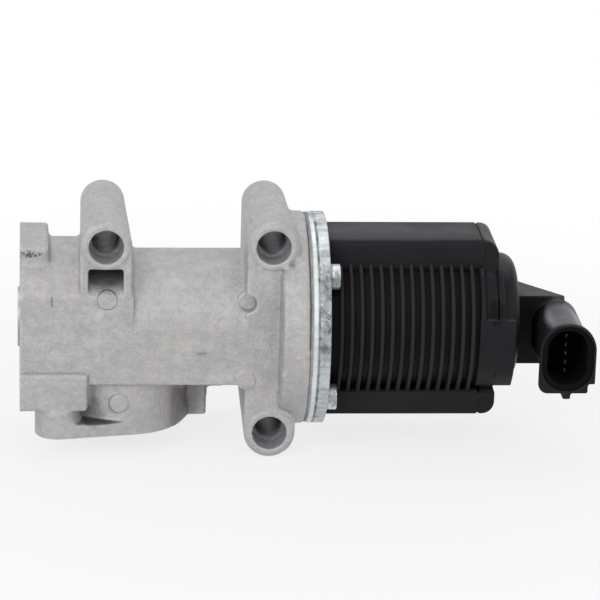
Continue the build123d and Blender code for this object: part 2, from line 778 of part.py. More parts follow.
# Rear cap, with clip plates over the housing, the arm and the connector shell in one moulding
clip_x = split_x - clip_overlap
clip_end_x = clip_x + clip_length
spigot_r = housing_bore_r - clip_gap
with BuildPart() as rear_cap:
    # Ends of the top box and the foot, rounded along both directions
    with BuildSketch(Plane.YZ.offset(cap_x)):
        add(housing_outline(0))
    extrude(amount=cap_box_length)
    with BuildSketch(Plane.XZ) as box_end:
        with Locations((cap_x + cap_box_length / 2, (box_top + foot_bottom) / 2)):
            Rectangle(cap_box_length, box_top - foot_bottom)
        fillet(box_end.vertices().group_by(Axis.X)[-1].sort_by(Axis.Y)[-1], cap_top_corner_r)
        fillet(box_end.vertices().group_by(Axis.X)[-1].sort_by(Axis.Y)[0], cap_bottom_corner_r)
    extrude(amount=foot_width, both=True, mode=Mode.INTERSECT)
    with BuildSketch(Plane.XZ) as dome_section:
        Polygon((cap_x, 0), (cap_x, cap_start_r), (cap_end_x, cap_end_r), (cap_end_x, 0), align=None)
        fillet(dome_section.vertices().group_by(Axis.X)[-1].sort_by(Axis.Y)[-1], cap_rim_r)
    revolve(axis=Axis.X)
    # Arm, connector tube and the notched rim round its mouth
    add(connector_arm())
    with BuildSketch(Plane.XZ.offset(-socket_back)):
        add(socket_outline(tube_inset, tube_corner_r))
    extrude(amount=socket_back + socket_front)
    with BuildSketch(Plane.XZ.offset(socket_front)):
        add(socket_outline(0, socket_corner_r))
        with Locations((socket_x + socket_half_width, socket_bottom)):
            Rectangle(2 * notch_width, 2 * notch_height, mode=Mode.SUBTRACT)
    extrude(amount=-socket_rim_length)
    with BuildSketch(Plane.XZ.offset(socket_front)):
        with Locations((socket_x, socket_bottom)):
            Rectangle(key_width, 2 * key_height)
    extrude(amount=-key_length)
    with BuildSketch(Plane.XZ.offset(socket_front)):
        add(socket_outline(socket_rim_wall, socket_rim_bore_corner_r))
    extrude(amount=-socket_rim_depth, mode=Mode.SUBTRACT)
    with BuildSketch(Plane.XZ.offset(socket_front)):
        add(socket_outline(tube_inset + tube_wall, tube_corner_r - tube_wall))
    extrude(amount=socket_floor - socket_front, mode=Mode.SUBTRACT)
    # Inside of the cap, the spigot that holds the rear plate and the posts under the sensor board
    with BuildSketch(Plane.YZ.offset(cap_x)):
        Circle(cap_bore_r)
    extrude(amount=cap_floor_x - cap_x, mode=Mode.SUBTRACT)
    with BuildSketch(Plane.YZ.offset(rear_plate_end_x)):
        Circle(spigot_r)
        Circle(cap_bore_r, mode=Mode.SUBTRACT)
    extrude(amount=cap_x - rear_plate_end_x)
    with BuildSketch(Plane.YZ.offset(board_end_x)):
        with PolarLocations(post_circle_r, post_count, start_angle=90):
            Circle(post_r)
    extrude(amount=cap_floor_x - board_end_x)
    # Clip plates and fins on both sides
    for side in (-1, 1):
        clip_from = 90 + side * clip_start_angle
        clip_to = 90 + side * clip_end_angle
        fin_from = 90 + side * fin_start_angle
        for start, inner_r in ((clip_x, housing_core_r + clip_gap), (cap_x, cap_end_r)):
            with BuildSketch(Plane.YZ.offset(start)):
                add(ring_sector(inner_r, clip_r, clip_from, clip_to))
            extrude(amount=clip_end_x - start)
        fin_x = clip_x + fin_inset
        for start, inner_r in ((fin_x, housing_core_r + clip_gap), (fin_x + fin_spacing, cap_end_r)):
            with BuildSketch(Plane.YZ.offset(start)):
                add(ring_sector(inner_r, clip_r, fin_from, clip_from + side))
            extrude(amount=fin_thickness)
    # Way for the terminals
    strip_height = (terminal_count - 1) * terminal_pitch + terminal_width + 2 * lead_slot_gap
    slot_end_x = socket_x + terminal_thickness / 2 + lead_slot_gap
    slot_start_x = cap_floor_x - lead_slot_gap
    with BuildSketch(Plane.XZ.offset(-lead_strip_y - lead_slot_gap)):
        with Locations(((slot_start_x + slot_end_x) / 2, terminal_mid_z)):
            Rectangle(slot_end_x - slot_start_x, strip_height)
    extrude(amount=terminal_thickness + 2 * lead_slot_gap, mode=Mode.SUBTRACT)
    with BuildSketch(Plane.XZ.offset(socket_floor)):
        with Locations((socket_x, terminal_mid_z)):
            with GridLocations(0, terminal_pitch, 1, terminal_count):
                Rectangle(terminal_thickness + 2 * terminal_gap, terminal_width + 2 * terminal_gap)
    extrude(amount=-socket_floor - lead_strip_y, mode=Mode.SUBTRACT)

with BuildPart() as connector_terminals:
    for i in range(terminal_count):
        row_z = terminal_mid_z + (i - (terminal_count - 1) / 2) * terminal_pitch
        with BuildSketch(Plane.XY.offset(row_z - terminal_width / 2)):
            Polygon(
                (board_end_x, lead_strip_y),
                (socket_x + terminal_thickness / 2, lead_strip_y),
                (socket_x + terminal_thickness / 2, -socket_floor - terminal_reach),
                (socket_x - terminal_thickness / 2, -socket_floor - terminal_reach),
                (socket_x - terminal_thickness / 2, lead_strip_y - terminal_thickness),
                (board_end_x, lead_strip_y - terminal_thickness),
                align=None,
            )
        extrude(amount=terminal_width)

# Stator: steel can with two magnet shells
with BuildPart() as motor_can:
    with BuildSketch(Plane.YZ.offset(housing_x)):
        Circle(can_r)
        Circle(magnet_r, mode=Mode.SUBTRACT)
    extrude(amount=brush_holder_x - housing_x)

with BuildPart() as field_magnets:
    for middle in (0, 180):
        magnet_start = middle - magnet_span / 2
        with BuildSketch(Plane.YZ.offset(magnet_x)):
            add(ring_sector(magnet_r - magnet_wall, magnet_r, magnet_start, magnet_start + magnet_span))
        extrude(amount=magnet_length)

# Rotor: a shaft whose bore is the nut on the spindle
with BuildPart() as rotor_shaft:
    with BuildSketch(Plane.XZ):
        Polygon(
            (shaft_x, spindle_r + running_gap),
            (shaft_x, shaft_r),
            (rear_bearing_x, shaft_r),
            (rear_bearing_x, shaft_end_r),
            (rear_bearing_end_x + magnet_disc_gap / 2, shaft_end_r),
            (rear_bearing_end_x + magnet_disc_gap / 2, shaft_tip_r),
            (magnet_disc_x + magnet_disc_thickness, shaft_tip_r),
            (magnet_disc_x + magnet_disc_thickness, 0),
            (spindle_bore_end_x, 0),
            (spindle_bore_end_x, spindle_r + running_gap),
            align=None,
        )
    revolve(axis=Axis.X)

with BuildPart() as rotor_core:
    with BuildSketch(Plane.YZ.offset(core_x)):
        Circle(core_r)
        Circle(shaft_r, mode=Mode.SUBTRACT)
    extrude(amount=core_length)

with BuildPart() as rotor_windings:
    for start in (core_x - winding_length, core_x + core_length):
        with BuildSketch(Plane.YZ.offset(start)):
            Circle(winding_r)
            Circle(shaft_r, mode=Mode.SUBTRACT)
        extrude(amount=winding_length)

with BuildPart() as commutator:
    with BuildSketch(Plane.YZ.offset(commutator_x)):
        Circle(commutator_r)
        Circle(shaft_r, mode=Mode.SUBTRACT)
    extrude(amount=commutator_length)

with BuildPart() as position_magnet:
    with BuildSketch(Plane.YZ.offset(magnet_disc_x)):
        Circle(magnet_disc_r)
        Circle(shaft_tip_r, mode=Mode.SUBTRACT)
    extrude(amount=magnet_disc_thickness)

# Spindle, flattened where it passes the guide that stops it turning
with BuildPart() as drive_spindle:
    with BuildSketch(Plane.YZ.offset(spindle_x)):
        Circle(spindle_r)
        Rectangle(2 * spindle_r, 2 * spindle_flat, mode=Mode.INTERSECT)
    extrude(amount=spindle_flat_length)
    with BuildSketch(Plane.YZ.offset(spindle_x + spindle_flat_length)):
        Circle(spindle_r)
    extrude(amount=spindle_end_x - spindle_x - spindle_flat_length)

with BuildPart() as spindle_guide:
    with BuildSketch(Plane.YZ.offset(flange_x)):
        Circle(guide_insert_r)
    extrude(amount=motor_flange_thickness)
    with BuildSketch(Plane.YZ.offset(flange_x)):
        Circle(spindle_r + running_gap)
        Rectangle(2 * guide_insert_r, 2 * (spindle_flat + running_gap), mode=Mode.INTERSECT)
    extrude(amount=motor_flange_thickness, mode=Mode.SUBTRACT)

# Bearings
with BuildPart() as front_bearing_outer:
    with BuildSketch(Plane.YZ.offset(housing_x)):
        Circle(front_bearing_r)
        Circle(front_bearing_r - race_wall, mode=Mode.SUBTRACT)
    extrude(amount=front_bearing_width)

with BuildPart() as front_bearing_inner:
    with BuildSketch(Plane.YZ.offset(shaft_x)):
        Circle(shaft_r + race_wall)
        Circle(shaft_r, mode=Mode.SUBTRACT)
    extrude(amount=front_bearing_width - end_play)

with BuildPart(Plane.YZ.offset(housing_x + front_bearing_width / 2)) as front_bearing_balls:
    with PolarLocations((front_bearing_r + shaft_r) / 2, ball_count):
        Sphere(bearing_ball_r(front_bearing_r, shaft_r))

with BuildPart() as rear_bearing_outer:
    with BuildSketch(Plane.YZ.offset(rear_bearing_x)):
        Circle(rear_bearing_r)
        Circle(rear_bearing_r - race_wall, mode=Mode.SUBTRACT)
    extrude(amount=rear_bearing_width)

with BuildPart() as rear_bearing_inner:
    with BuildSketch(Plane.YZ.offset(rear_bearing_x)):
        Circle(shaft_end_r + race_wall)
        Circle(shaft_end_r, mode=Mode.SUBTRACT)
    extrude(amount=rear_bearing_width)

with BuildPart(Plane.YZ.offset(rear_bearing_x + rear_bearing_width / 2)) as rear_bearing_balls:
    with PolarLocations((rear_bearing_r + shaft_end_r) / 2, ball_count):
        Sphere(bearing_ball_r(rear_bearing_r, shaft_end_r))

with BuildPart() as rear_bearing_plate:
    with BuildSketch(Plane.YZ.offset(rear_plate_x)):
        Circle(spigot_r)
        Circle(rear_plate_bore_r, mode=Mode.SUBTRACT)
        with Locations((lead_y, lead_z), (-lead_y, lead_z)):
            Circle(lead_hole_r, mode=Mode.SUBTRACT)
    extrude(amount=rear_plate_thickness)
    with BuildSketch(Plane.YZ.offset(rear_plate_end_x)):
        Circle(rear_bearing_r + rear_hub_wall)
        Circle(rear_bearing_r, mode=Mode.SUBTRACT)
    extrude(amount=rear_bearing_width)

# Brush gear: a moulded ring with two radial slots
brush_mid_x = commutator_x + commutator_length / 2
slot_end_r = housing_bore_r - brush_slot_floor
with BuildPart() as brush_holder:
    with BuildSketch(Plane.YZ.offset(brush_holder_x)):
        Circle(spigot_r)
        Circle(brush_bore_r, mode=Mode.SUBTRACT)
    extrude(amount=brush_holder_length)
    with BuildSketch(Plane.XY):
        with Locations((brush_mid_x, 0)):
            Rectangle(brush_thickness + 2 * brush_slot_gap, brush_width + 2 * brush_slot_gap)
    extrude(amount=slot_end_r, both=True, mode=Mode.SUBTRACT)

brush_end_r = commutator_r + running_gap + brush_length
with BuildPart() as carbon_brushes:
    for side in (-1, 1):
        with BuildSketch(Plane.XY.offset(side * (brush_end_r - brush_length))):
            with Locations((brush_mid_x, 0)):
                Rectangle(brush_thickness, brush_width)
        extrude(amount=side * brush_length)

with BuildPart() as brush_springs:
    brush_spring_height = slot_end_r - brush_end_r - 2 * brush_spring_wire_r
    for side in (-1, 1):
        with BuildLine() as brush_coil:
            Helix(
                brush_spring_height / brush_spring_turns,
                brush_spring_height,
                brush_spring_r,
                center=(brush_mid_x, 0, side * (brush_end_r + brush_spring_wire_r)),
                direction=(0, 0, side),
            )
        with BuildSketch(Plane(origin=brush_coil.line @ 0, z_dir=brush_coil.line % 0)):
            Circle(brush_spring_wire_r)
        sweep(path=brush_coil.line, is_frenet=True)

with BuildPart() as motor_leads:
    with BuildSketch(Plane.YZ.offset(rear_plate_x)):
        with Locations((lead_y, lead_z), (-lead_y, lead_z)):
            Circle(lead_r)
    extrude(amount=board_x - rear_plate_x)

with BuildPart() as sensor_board:
    with BuildSketch(Plane.YZ.offset(board_x)):
        Circle(board_r)
    extrude(amount=board_thickness)

pieces = {
    "valve_housing": valve_housing,
    "valve_seat_ring": valve_seat_ring,
    "valve_stem": valve_stem,
    "stem_guide_bush": stem_guide_bush,
    "stem_seal": stem_seal,
    "gas_deflector": gas_deflector,
    "return_spring": return_spring,
    "spring_retainer": spring_retainer,
    "retainer_collets": retainer_collets,
    "flange_gasket": flange_gasket,
    "adapter_plate": adapter_plate,
    "motor_flange": motor_flange,
    "flange_screws": flange_screws,
    "housing_screws": housing_screws,
    "motor_housing": motor_housing,
    "housing_seal": housing_seal,
    "cap_seal": cap_seal,
    "rear_cap": rear_cap,
    "connector_terminals": connector_terminals,
    "motor_can": motor_can,
    "field_magnets": field_magnets,
    "rotor_shaft": rotor_shaft,
    "rotor_core": rotor_core,
    "rotor_windings": rotor_windings,
    "commutator": commutator,
    "position_magnet": position_magnet,
    "drive_spindle": drive_spindle,
    "spindle_guide": spindle_guide,
    "front_bearing_outer": front_bearing_outer,
    "front_bearing_inner": front_bearing_inner,
    "front_bearing_balls": front_bearing_balls,
    "rear_bearing_outer": rear_bearing_outer,
    "rear_bearing_inner": rear_bearing_inner,
    "rear_bearing_balls": rear_bearing_balls,
    "rear_bearing_plate": rear_bearing_plate,
    "brush_holder": brush_holder,
    "carbon_brushes": carbon_brushes,
    "brush_springs": brush_springs,
    "motor_leads": motor_leads,
    "sensor_board": sensor_board,
}
os.makedirs("parts", exist_ok=True)
for name, piece in pieces.items():
    piece.part.label = name
    export_step(piece.part, f"parts/{name}.step")
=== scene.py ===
import math

import bmesh
import bpy
import numpy as np
from mathutils import Matrix, Vector, kdtree
from mathutils.bvhtree import BVHTree


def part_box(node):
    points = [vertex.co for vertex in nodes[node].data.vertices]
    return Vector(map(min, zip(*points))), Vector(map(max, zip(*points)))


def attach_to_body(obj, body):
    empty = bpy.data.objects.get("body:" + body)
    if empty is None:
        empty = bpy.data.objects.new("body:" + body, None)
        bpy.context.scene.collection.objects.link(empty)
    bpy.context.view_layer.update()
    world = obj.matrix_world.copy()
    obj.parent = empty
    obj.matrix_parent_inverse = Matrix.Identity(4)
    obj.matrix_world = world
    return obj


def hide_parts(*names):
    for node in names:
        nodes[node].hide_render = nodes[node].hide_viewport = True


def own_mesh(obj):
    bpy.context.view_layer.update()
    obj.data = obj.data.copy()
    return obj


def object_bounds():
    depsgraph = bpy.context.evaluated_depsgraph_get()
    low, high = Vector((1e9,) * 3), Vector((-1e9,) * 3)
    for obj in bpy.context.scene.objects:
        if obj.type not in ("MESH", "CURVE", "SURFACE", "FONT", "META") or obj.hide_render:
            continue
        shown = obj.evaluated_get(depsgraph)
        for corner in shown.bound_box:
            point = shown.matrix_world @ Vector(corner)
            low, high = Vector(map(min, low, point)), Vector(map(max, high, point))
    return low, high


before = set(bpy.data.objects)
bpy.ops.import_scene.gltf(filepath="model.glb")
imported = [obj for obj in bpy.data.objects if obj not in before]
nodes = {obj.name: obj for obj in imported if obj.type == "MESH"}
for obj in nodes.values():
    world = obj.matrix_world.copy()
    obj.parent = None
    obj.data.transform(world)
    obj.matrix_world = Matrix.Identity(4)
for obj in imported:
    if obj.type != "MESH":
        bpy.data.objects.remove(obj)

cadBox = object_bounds()
mm = 0.001
scene = bpy.context.scene
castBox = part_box("valve_housing")
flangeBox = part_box("motor_flange")
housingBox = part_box("motor_housing")
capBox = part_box("rear_cap")
print("frame loaded:", len(nodes), "nodes")


# Small helpers for node trees: an input takes a plain value, or a socket that is then linked to it

def feed(tree, socket, value):
    if isinstance(value, bpy.types.NodeSocket):
        tree.links.new(value, socket)
    else:
        socket.default_value = value


def addNode(tree, kind, inputs=None, **settings):
    node = tree.nodes.new(kind)
    for key, value in settings.items():
        setattr(node, key, value)
    for key, value in (inputs or {}).items():
        feed(tree, node.inputs[key], value)
    return node


def mathNode(tree, operation, *values):
    return addNode(tree, "ShaderNodeMath", dict(enumerate(values)), operation=operation).outputs[0]


def vectorNode(tree, operation, *values):
    node = addNode(tree, "ShaderNodeVectorMath", dict(enumerate(values)), operation=operation)
    return node.outputs["Value" if operation in ("LENGTH", "DISTANCE") else "Vector"]


def noiseNode(tree, vector, scale, detail, roughness=0.5, distortion=0.0):
    inputs = {"Vector": vector, "Scale": scale, "Detail": detail, "Roughness": roughness}
    return addNode(tree, "ShaderNodeTexNoise", {**inputs, "Distortion": distortion}).outputs["Fac"]


def rampNode(tree, value, low, high, before=0.0, after=1.0):
    # One value below low, another above high, smooth between
    inputs = {"Value": value, "From Min": low, "From Max": high, "To Min": before, "To Max": after}
    return addNode(tree, "ShaderNodeMapRange", inputs, interpolation_type="SMOOTHSTEP").outputs["Result"]


def enabledSockets(sockets):
    return [socket for socket in sockets if socket.enabled]


def mixColour(tree, factor, first, second):
    node = addNode(tree, "ShaderNodeMix", data_type="RGBA")
    for socket, value in zip(enabledSockets(node.inputs), (factor, first, second)):
        feed(tree, socket, (*value, 1) if isinstance(value, tuple) else value)
    return enabledSockets(node.outputs)[0]


def tinted(tree, colour, mask, share, tone):
    # Lays a share of a tone over a colour where the mask is
    return mixColour(tree, mathNode(tree, "MULTIPLY", mask, share), colour, tone)


# Shared surface effects: shader groups that give out masks and heights

def openGroup(name, inputs):
    # inputs hold each default by name; every group also takes the place on the surface as its Vector
    tree = bpy.data.node_groups.new(name, "ShaderNodeTree")
    tree.interface.new_socket("Vector", in_out="INPUT", socket_type="NodeSocketVector")
    for label, default in inputs.items():
        kind = "NodeSocketVector" if isinstance(default, tuple) else "NodeSocketFloat"
        tree.interface.new_socket(label, in_out="INPUT", socket_type=kind).default_value = default
    return tree, tree.nodes.new("NodeGroupInput").outputs


def closeGroup(tree, outputs):
    for label in outputs:
        tree.interface.new_socket(label, in_out="OUTPUT", socket_type="NodeSocketFloat")
    sink = tree.nodes.new("NodeGroupOutput")
    for label, socket in outputs.items():
        tree.links.new(socket, sink.inputs[label])
    return tree


def useGroup(tree, group, place, values=None):
    node = tree.nodes.new("ShaderNodeGroup")
    node.node_tree = group
    for key, value in {"Vector": place, **(values or {})}.items():
        feed(tree, node.inputs[key], value)
    return node.outputs


def makeGrain():
    # Fine sand-like grain: a height for bump and a fleck mask
    tree, given = openGroup("fineGrain", {"Scale": 1500.0, "Flecks": 0.62})
    grain = noiseNode(tree, given["Vector"], given["Scale"], 3.0, 0.6)
    pitScale = mathNode(tree, "MULTIPLY", given["Scale"], 0.45)
    pits = addNode(tree, "ShaderNodeTexVoronoi", {"Vector": given["Vector"], "Scale": pitScale}, feature="F1")
    height = mathNode(tree, "MULTIPLY_ADD", pits.outputs["Distance"], 0.4, grain)
    fleck = mathNode(tree, "GREATER_THAN", grain, given["Flecks"])
    return closeGroup(tree, {"Height": height, "Fleck": fleck})


def makePatches():
    # Broad, soft unevenness of tone
    tree, given = openGroup("softPatches", {"Scale": 60.0})
    broad = noiseNode(tree, given["Vector"], given["Scale"], 4.0, 0.55, 0.4)
    return closeGroup(tree, {"Mask": rampNode(tree, broad, 0.3, 0.7)})


def makeStreaks():
    # Drawn or turned lines along one direction
    tree, given = openGroup("fineStreaks", {"Stretch": (1.0, 1.0, 1.0), "Scale": 400.0})
    stretched = vectorNode(tree, "MULTIPLY", given["Vector"], given["Stretch"])
    lines = noiseNode(tree, stretched, given["Scale"], 2.0)
    return closeGroup(tree, {"Mask": rampNode(tree, lines, 0.35, 0.65)})


def makeEdgeAndCreaseMasks():
    # Edge is 1 on outer edges, broken up by noise, for worn edges and painted highlights; Hollow is 1 in inner
    # corners, for painted shade in the creases
    tree, given = openGroup("edgeAndCreaseMasks", {"Start": 0.52, "End": 0.6, "Hollow Start": 0.52, "Hollow End": 0.6})
    bulge = addNode(tree, "ShaderNodeNewGeometry").outputs["Pointiness"]
    breakUp = rampNode(tree, noiseNode(tree, given["Vector"], 300.0, 3.0), 0.3, 0.6)
    edge = rampNode(tree, bulge, given["Start"], given["End"])
    dip = mathNode(tree, "SUBTRACT", 1.0, bulge)
    hollow = rampNode(tree, dip, given["Hollow Start"], given["Hollow End"])
    return closeGroup(tree, {"Edge": mathNode(tree, "MULTIPLY", edge, breakUp), "Hollow": hollow})


def makeSpot():
    # 1 near a place on the surface, with a ragged rim
    tree, given = openGroup("raggedSpot", {
        "Centre": (0.0, 0.0, 0.0), "Stretch": (1.0, 1.0, 1.0), "Radius": 0.003, "Raggedness": 0.6,
        "Noise Scale": 500.0})
    offset = vectorNode(tree, "SUBTRACT", given["Vector"], given["Centre"])
    reach = vectorNode(tree, "LENGTH", vectorNode(tree, "MULTIPLY", offset, given["Stretch"]))
    near = mathNode(tree, "SUBTRACT", 1.0, mathNode(tree, "DIVIDE", reach, given["Radius"]))
    noise = noiseNode(tree, given["Vector"], given["Noise Scale"], 4.0)
    ragged = mathNode(tree, "MULTIPLY", mathNode(tree, "SUBTRACT", noise, 0.5), given["Raggedness"])
    total = mathNode(tree, "MULTIPLY_ADD", ragged, 4.0, near)
    return closeGroup(tree, {"Mask": rampNode(tree, total, 0.0, 0.45)})


def makeDustAndTopLight():
    # Settled dust and painted light from above: 1 on faces that look up, broken up by noise
    tree, given = openGroup("upFacingDustAndLight", {"Scale": 200.0})
    normal = addNode(tree, "ShaderNodeNewGeometry").outputs["Normal"]
    facing = addNode(tree, "ShaderNodeSeparateXYZ", {"Vector": normal})
    cloud = noiseNode(tree, given["Vector"], given["Scale"], 4.0, 0.6)
    upward = rampNode(tree, facing.outputs["Z"], 0.75, 0.97)
    uneven = mathNode(tree, "MULTIPLY_ADD", cloud, 0.7, 0.65)
    return closeGroup(tree, {"Mask": mathNode(tree, "MULTIPLY", upward, uneven)})


def nearMask(tree, given, offset, across):
    # 1 where an offset, measured across an axis, is within the group's Radius, 0 past its Blend
    reach = vectorNode(tree, "LENGTH", vectorNode(tree, "MULTIPLY", offset, across))
    rim = mathNode(tree, "ADD", given["Radius"], given["Blend"])
    return rampNode(tree, reach, given["Radius"], rim, 1.0, 0.0)


def makeDisc():
    # 1 within a round boss whose axis runs along Y, on the front half only
    tree, given = openGroup("raisedDisc", {
        "Centre": (0.0, 0.0, 0.0), "Radius": 0.003, "Blend": 0.0005, "Front": -0.015})
    offset = vectorNode(tree, "SUBTRACT", given["Vector"], given["Centre"])
    along = addNode(tree, "ShaderNodeSeparateXYZ", {"Vector": given["Vector"]})
    front = mathNode(tree, "LESS_THAN", along.outputs["Y"], given["Front"])
    disc = nearMask(tree, given, offset, (1.0, 0.0, 1.0))
    return closeGroup(tree, {"Mask": mathNode(tree, "MULTIPLY", disc, front)})


def makeDepthMask():
    # 1 nearer the stem's axis than the given radius, 0 farther out
    tree, given = openGroup("nearAxis", {"Radius": 0.024, "Blend": 0.0006})
    return closeGroup(tree, {"Mask": nearMask(tree, given, given["Vector"], (0.0, 1.0, 1.0))})


def makeTubeMask():
    # 1 inside an oval tube that runs along Y, between its Mouth and its Depth, 0 outside it
    tree, given = openGroup("insideTube", {
        "Centre": (0.0, 0.0, 0.0), "Core": (0.001, 1.0, 0.003), "Radius": 0.006, "Mouth": -0.03,
        "Depth": 0.02})
    offset = vectorNode(tree, "ABSOLUTE", vectorNode(tree, "SUBTRACT", given["Vector"], given["Centre"]))
    beyond = vectorNode(tree, "SUBTRACT", offset, given["Core"])
    reach = vectorNode(tree, "LENGTH", vectorNode(tree, "MAXIMUM", beyond, (0.0, 0.0, 0.0)))
    along = addNode(tree, "ShaderNodeSeparateXYZ", {"Vector": given["Vector"]})
    inside = mathNode(tree, "LESS_THAN", reach, given["Radius"])
    behindMouth = mathNode(tree, "GREATER_THAN", along.outputs["Y"], given["Mouth"])
    beforeFloor = mathNode(tree, "LESS_THAN", along.outputs["Y"], given["Depth"])
    between = mathNode(tree, "MULTIPLY", behindMouth, beforeFloor)
    return closeGroup(tree, {"Mask": mathNode(tree, "MULTIPLY", inside, between)})


grainGroup = makeGrain()
patchGroup = makePatches()
streakGroup = makeStreaks()
edgeAndCreaseGroup = makeEdgeAndCreaseMasks()
spotGroup = makeSpot()
tubeMaskGroup = makeTubeMask()
dustAndTopLightGroup = makeDustAndTopLight()
discGroup = makeDisc()
depthGroup = makeDepthMask()
print("surface effects built")


# Steps that the materials share

def startMaterial(name, values):
    material = bpy.data.materials.new(name)
    material.use_nodes = True
    tree = material.node_tree
    shader = tree.nodes["Principled BSDF"]
    for key, value in values.items():
        shader.inputs[key].default_value = value
    place = addNode(tree, "ShaderNodeTexCoord").outputs["Object"]
    return material, tree, shader, place


def dress(tree, shader, colour, gloss, height, depth):
    # Gives the shader its colour, its roughness and a bump of the given depth
    bump = addNode(tree, "ShaderNodeBump", {"Height": height, "Distance": depth, "Strength": 1.0})
    feed(tree, shader.inputs["Base Color"], colour)
    feed(tree, shader.inputs["Roughness"], gloss)
    feed(tree, shader.inputs["Normal"], bump.outputs["Normal"])


def maskOf(tree, group, place, values):
    return useGroup(tree, group, place, values)["Mask"]


def spotMask(tree, place, centre, radius, stretch, raggedness, noiseScale):
    return maskOf(tree, spotGroup, place, {
        "Centre": centre, "Radius": radius, "Stretch": stretch, "Raggedness": raggedness,
        "Noise Scale": noiseScale})


# Cast aluminium. A mark holds its place, radius, stretch, raggedness, noise scale, tone and share; the holes
# are given by x and z; a pad holds its centre and how far it lifts the bump

castLook = {
    "light": (0.62, 0.613, 0.613), "dark": (0.37, 0.365, 0.367), "warm": (0.50, 0.475, 0.45),
    "edge": (0.70, 0.695, 0.69), "stainAndShade": (0.10, 0.085, 0.075), "chipAndShade": (0.07, 0.068, 0.068),
    "machined": (0.60, 0.61, 0.64), "patchScale": 95.0, "patchShare": 0.45, "warmScale": 0.55,
    "warmOffset": (0.31, 0.17, 0.05), "warmShare": 0.3, "streakShare": 0.16, "mottleScale": 420.0,
    "mottleShare": 0.5, "grainScale": 1500.0, "grainDepth": 0.00030, "fleckShare": 0.45, "edgeShare": 0.6,
    "creaseShadeShare": 0.5, "roughness": 0.5, "roughnessSpread": 0.1,
    "marks": (
        ((0.0028, -0.0125, 0.0262), 0.0036, (0.8, 0.6, 3.4), 1.0, 1500.0, "chipAndShade", 0.9),
        ((0.0072, -0.0100, 0.0275), 0.0016, (1.0, 0.6, 2.0), 0.8, 1500.0, "chipAndShade", 0.8),
        ((0.0103, -0.0235, 0.0130), 0.0024, (4.6, 0.8, 1.0), 0.4, 900.0, "chipAndShade", 0.5),
        ((0.0600, -0.0222, -0.0052), 0.0022, (1.0, 0.5, 2.6), 1.0, 1500.0, "chipAndShade", 0.45),
        # Painted shade in the crevice between the outlet flange and the duct
        ((0.0262, -0.0195, -0.0296), 0.0062, (0.62, 0.6, 7.5), 0.10, 500.0, "chipAndShade", 0.95),
        # A brown stain with painted contact shade under the lug, at the duct's left side
        ((0.0240, -0.0190, -0.0268), 0.0045, (1.0, 0.6, 0.75), 0.2, 260.0, "stainAndShade", 0.4),
        # Painted shade on the duct's right side, under the barrel and beside the flange
        ((0.0545, -0.0070, -0.0262), 0.0120, (1.3, 0.85, 0.6), 0.05, 300.0, "stainAndShade", 0.5),
        ((0.0760, -0.0080, 0.0360), 0.0022, (0.8, 1.0, 3.4), 0.8, 1500.0, "chipAndShade", 0.35),
    ),
    "pocket": {"Centre": (0.0279, 0.0, 0.0118), "Core": (0.0049, 1.0, 0.0112), "Radius": 0.0009,
               "Mouth": -0.0226, "Depth": 0.0299},
    # pocketShade: painted shadow in the upper part of the ear's pocket
    "pocketShade": ((0.0279, -0.0120, 0.0235), 0.0135, (0.8, 0.8, 1.0), 0.05, 300.0), "pocketShadeShare": 0.94,
    "holes": ((0.0279, 0.0314), (0.0826, 0.0314), (0.0826, -0.0330)),
    "holeShape": {"Core": (0.0, 1.0, 0.0), "Radius": 0.00585, "Mouth": -0.0231, "Depth": 0.0299},
    "holePolish": -0.22, "holeShadeY": 0.0060, "holeShade": (0.0245, (0.4, 1.0, 0.4), 0.08, 300.0),
    "holeShadeShare": 0.88, "padRadius": 0.0030,
    "pads": (((0.0284, 0.0, 0.0131), 1.6), ((0.0744, 0.0, 0.0119), 0.8), ((0.0744, 0.0, -0.0147), 0.5),
             ((0.0326, 0.0, -0.0232), 0.3)),
}


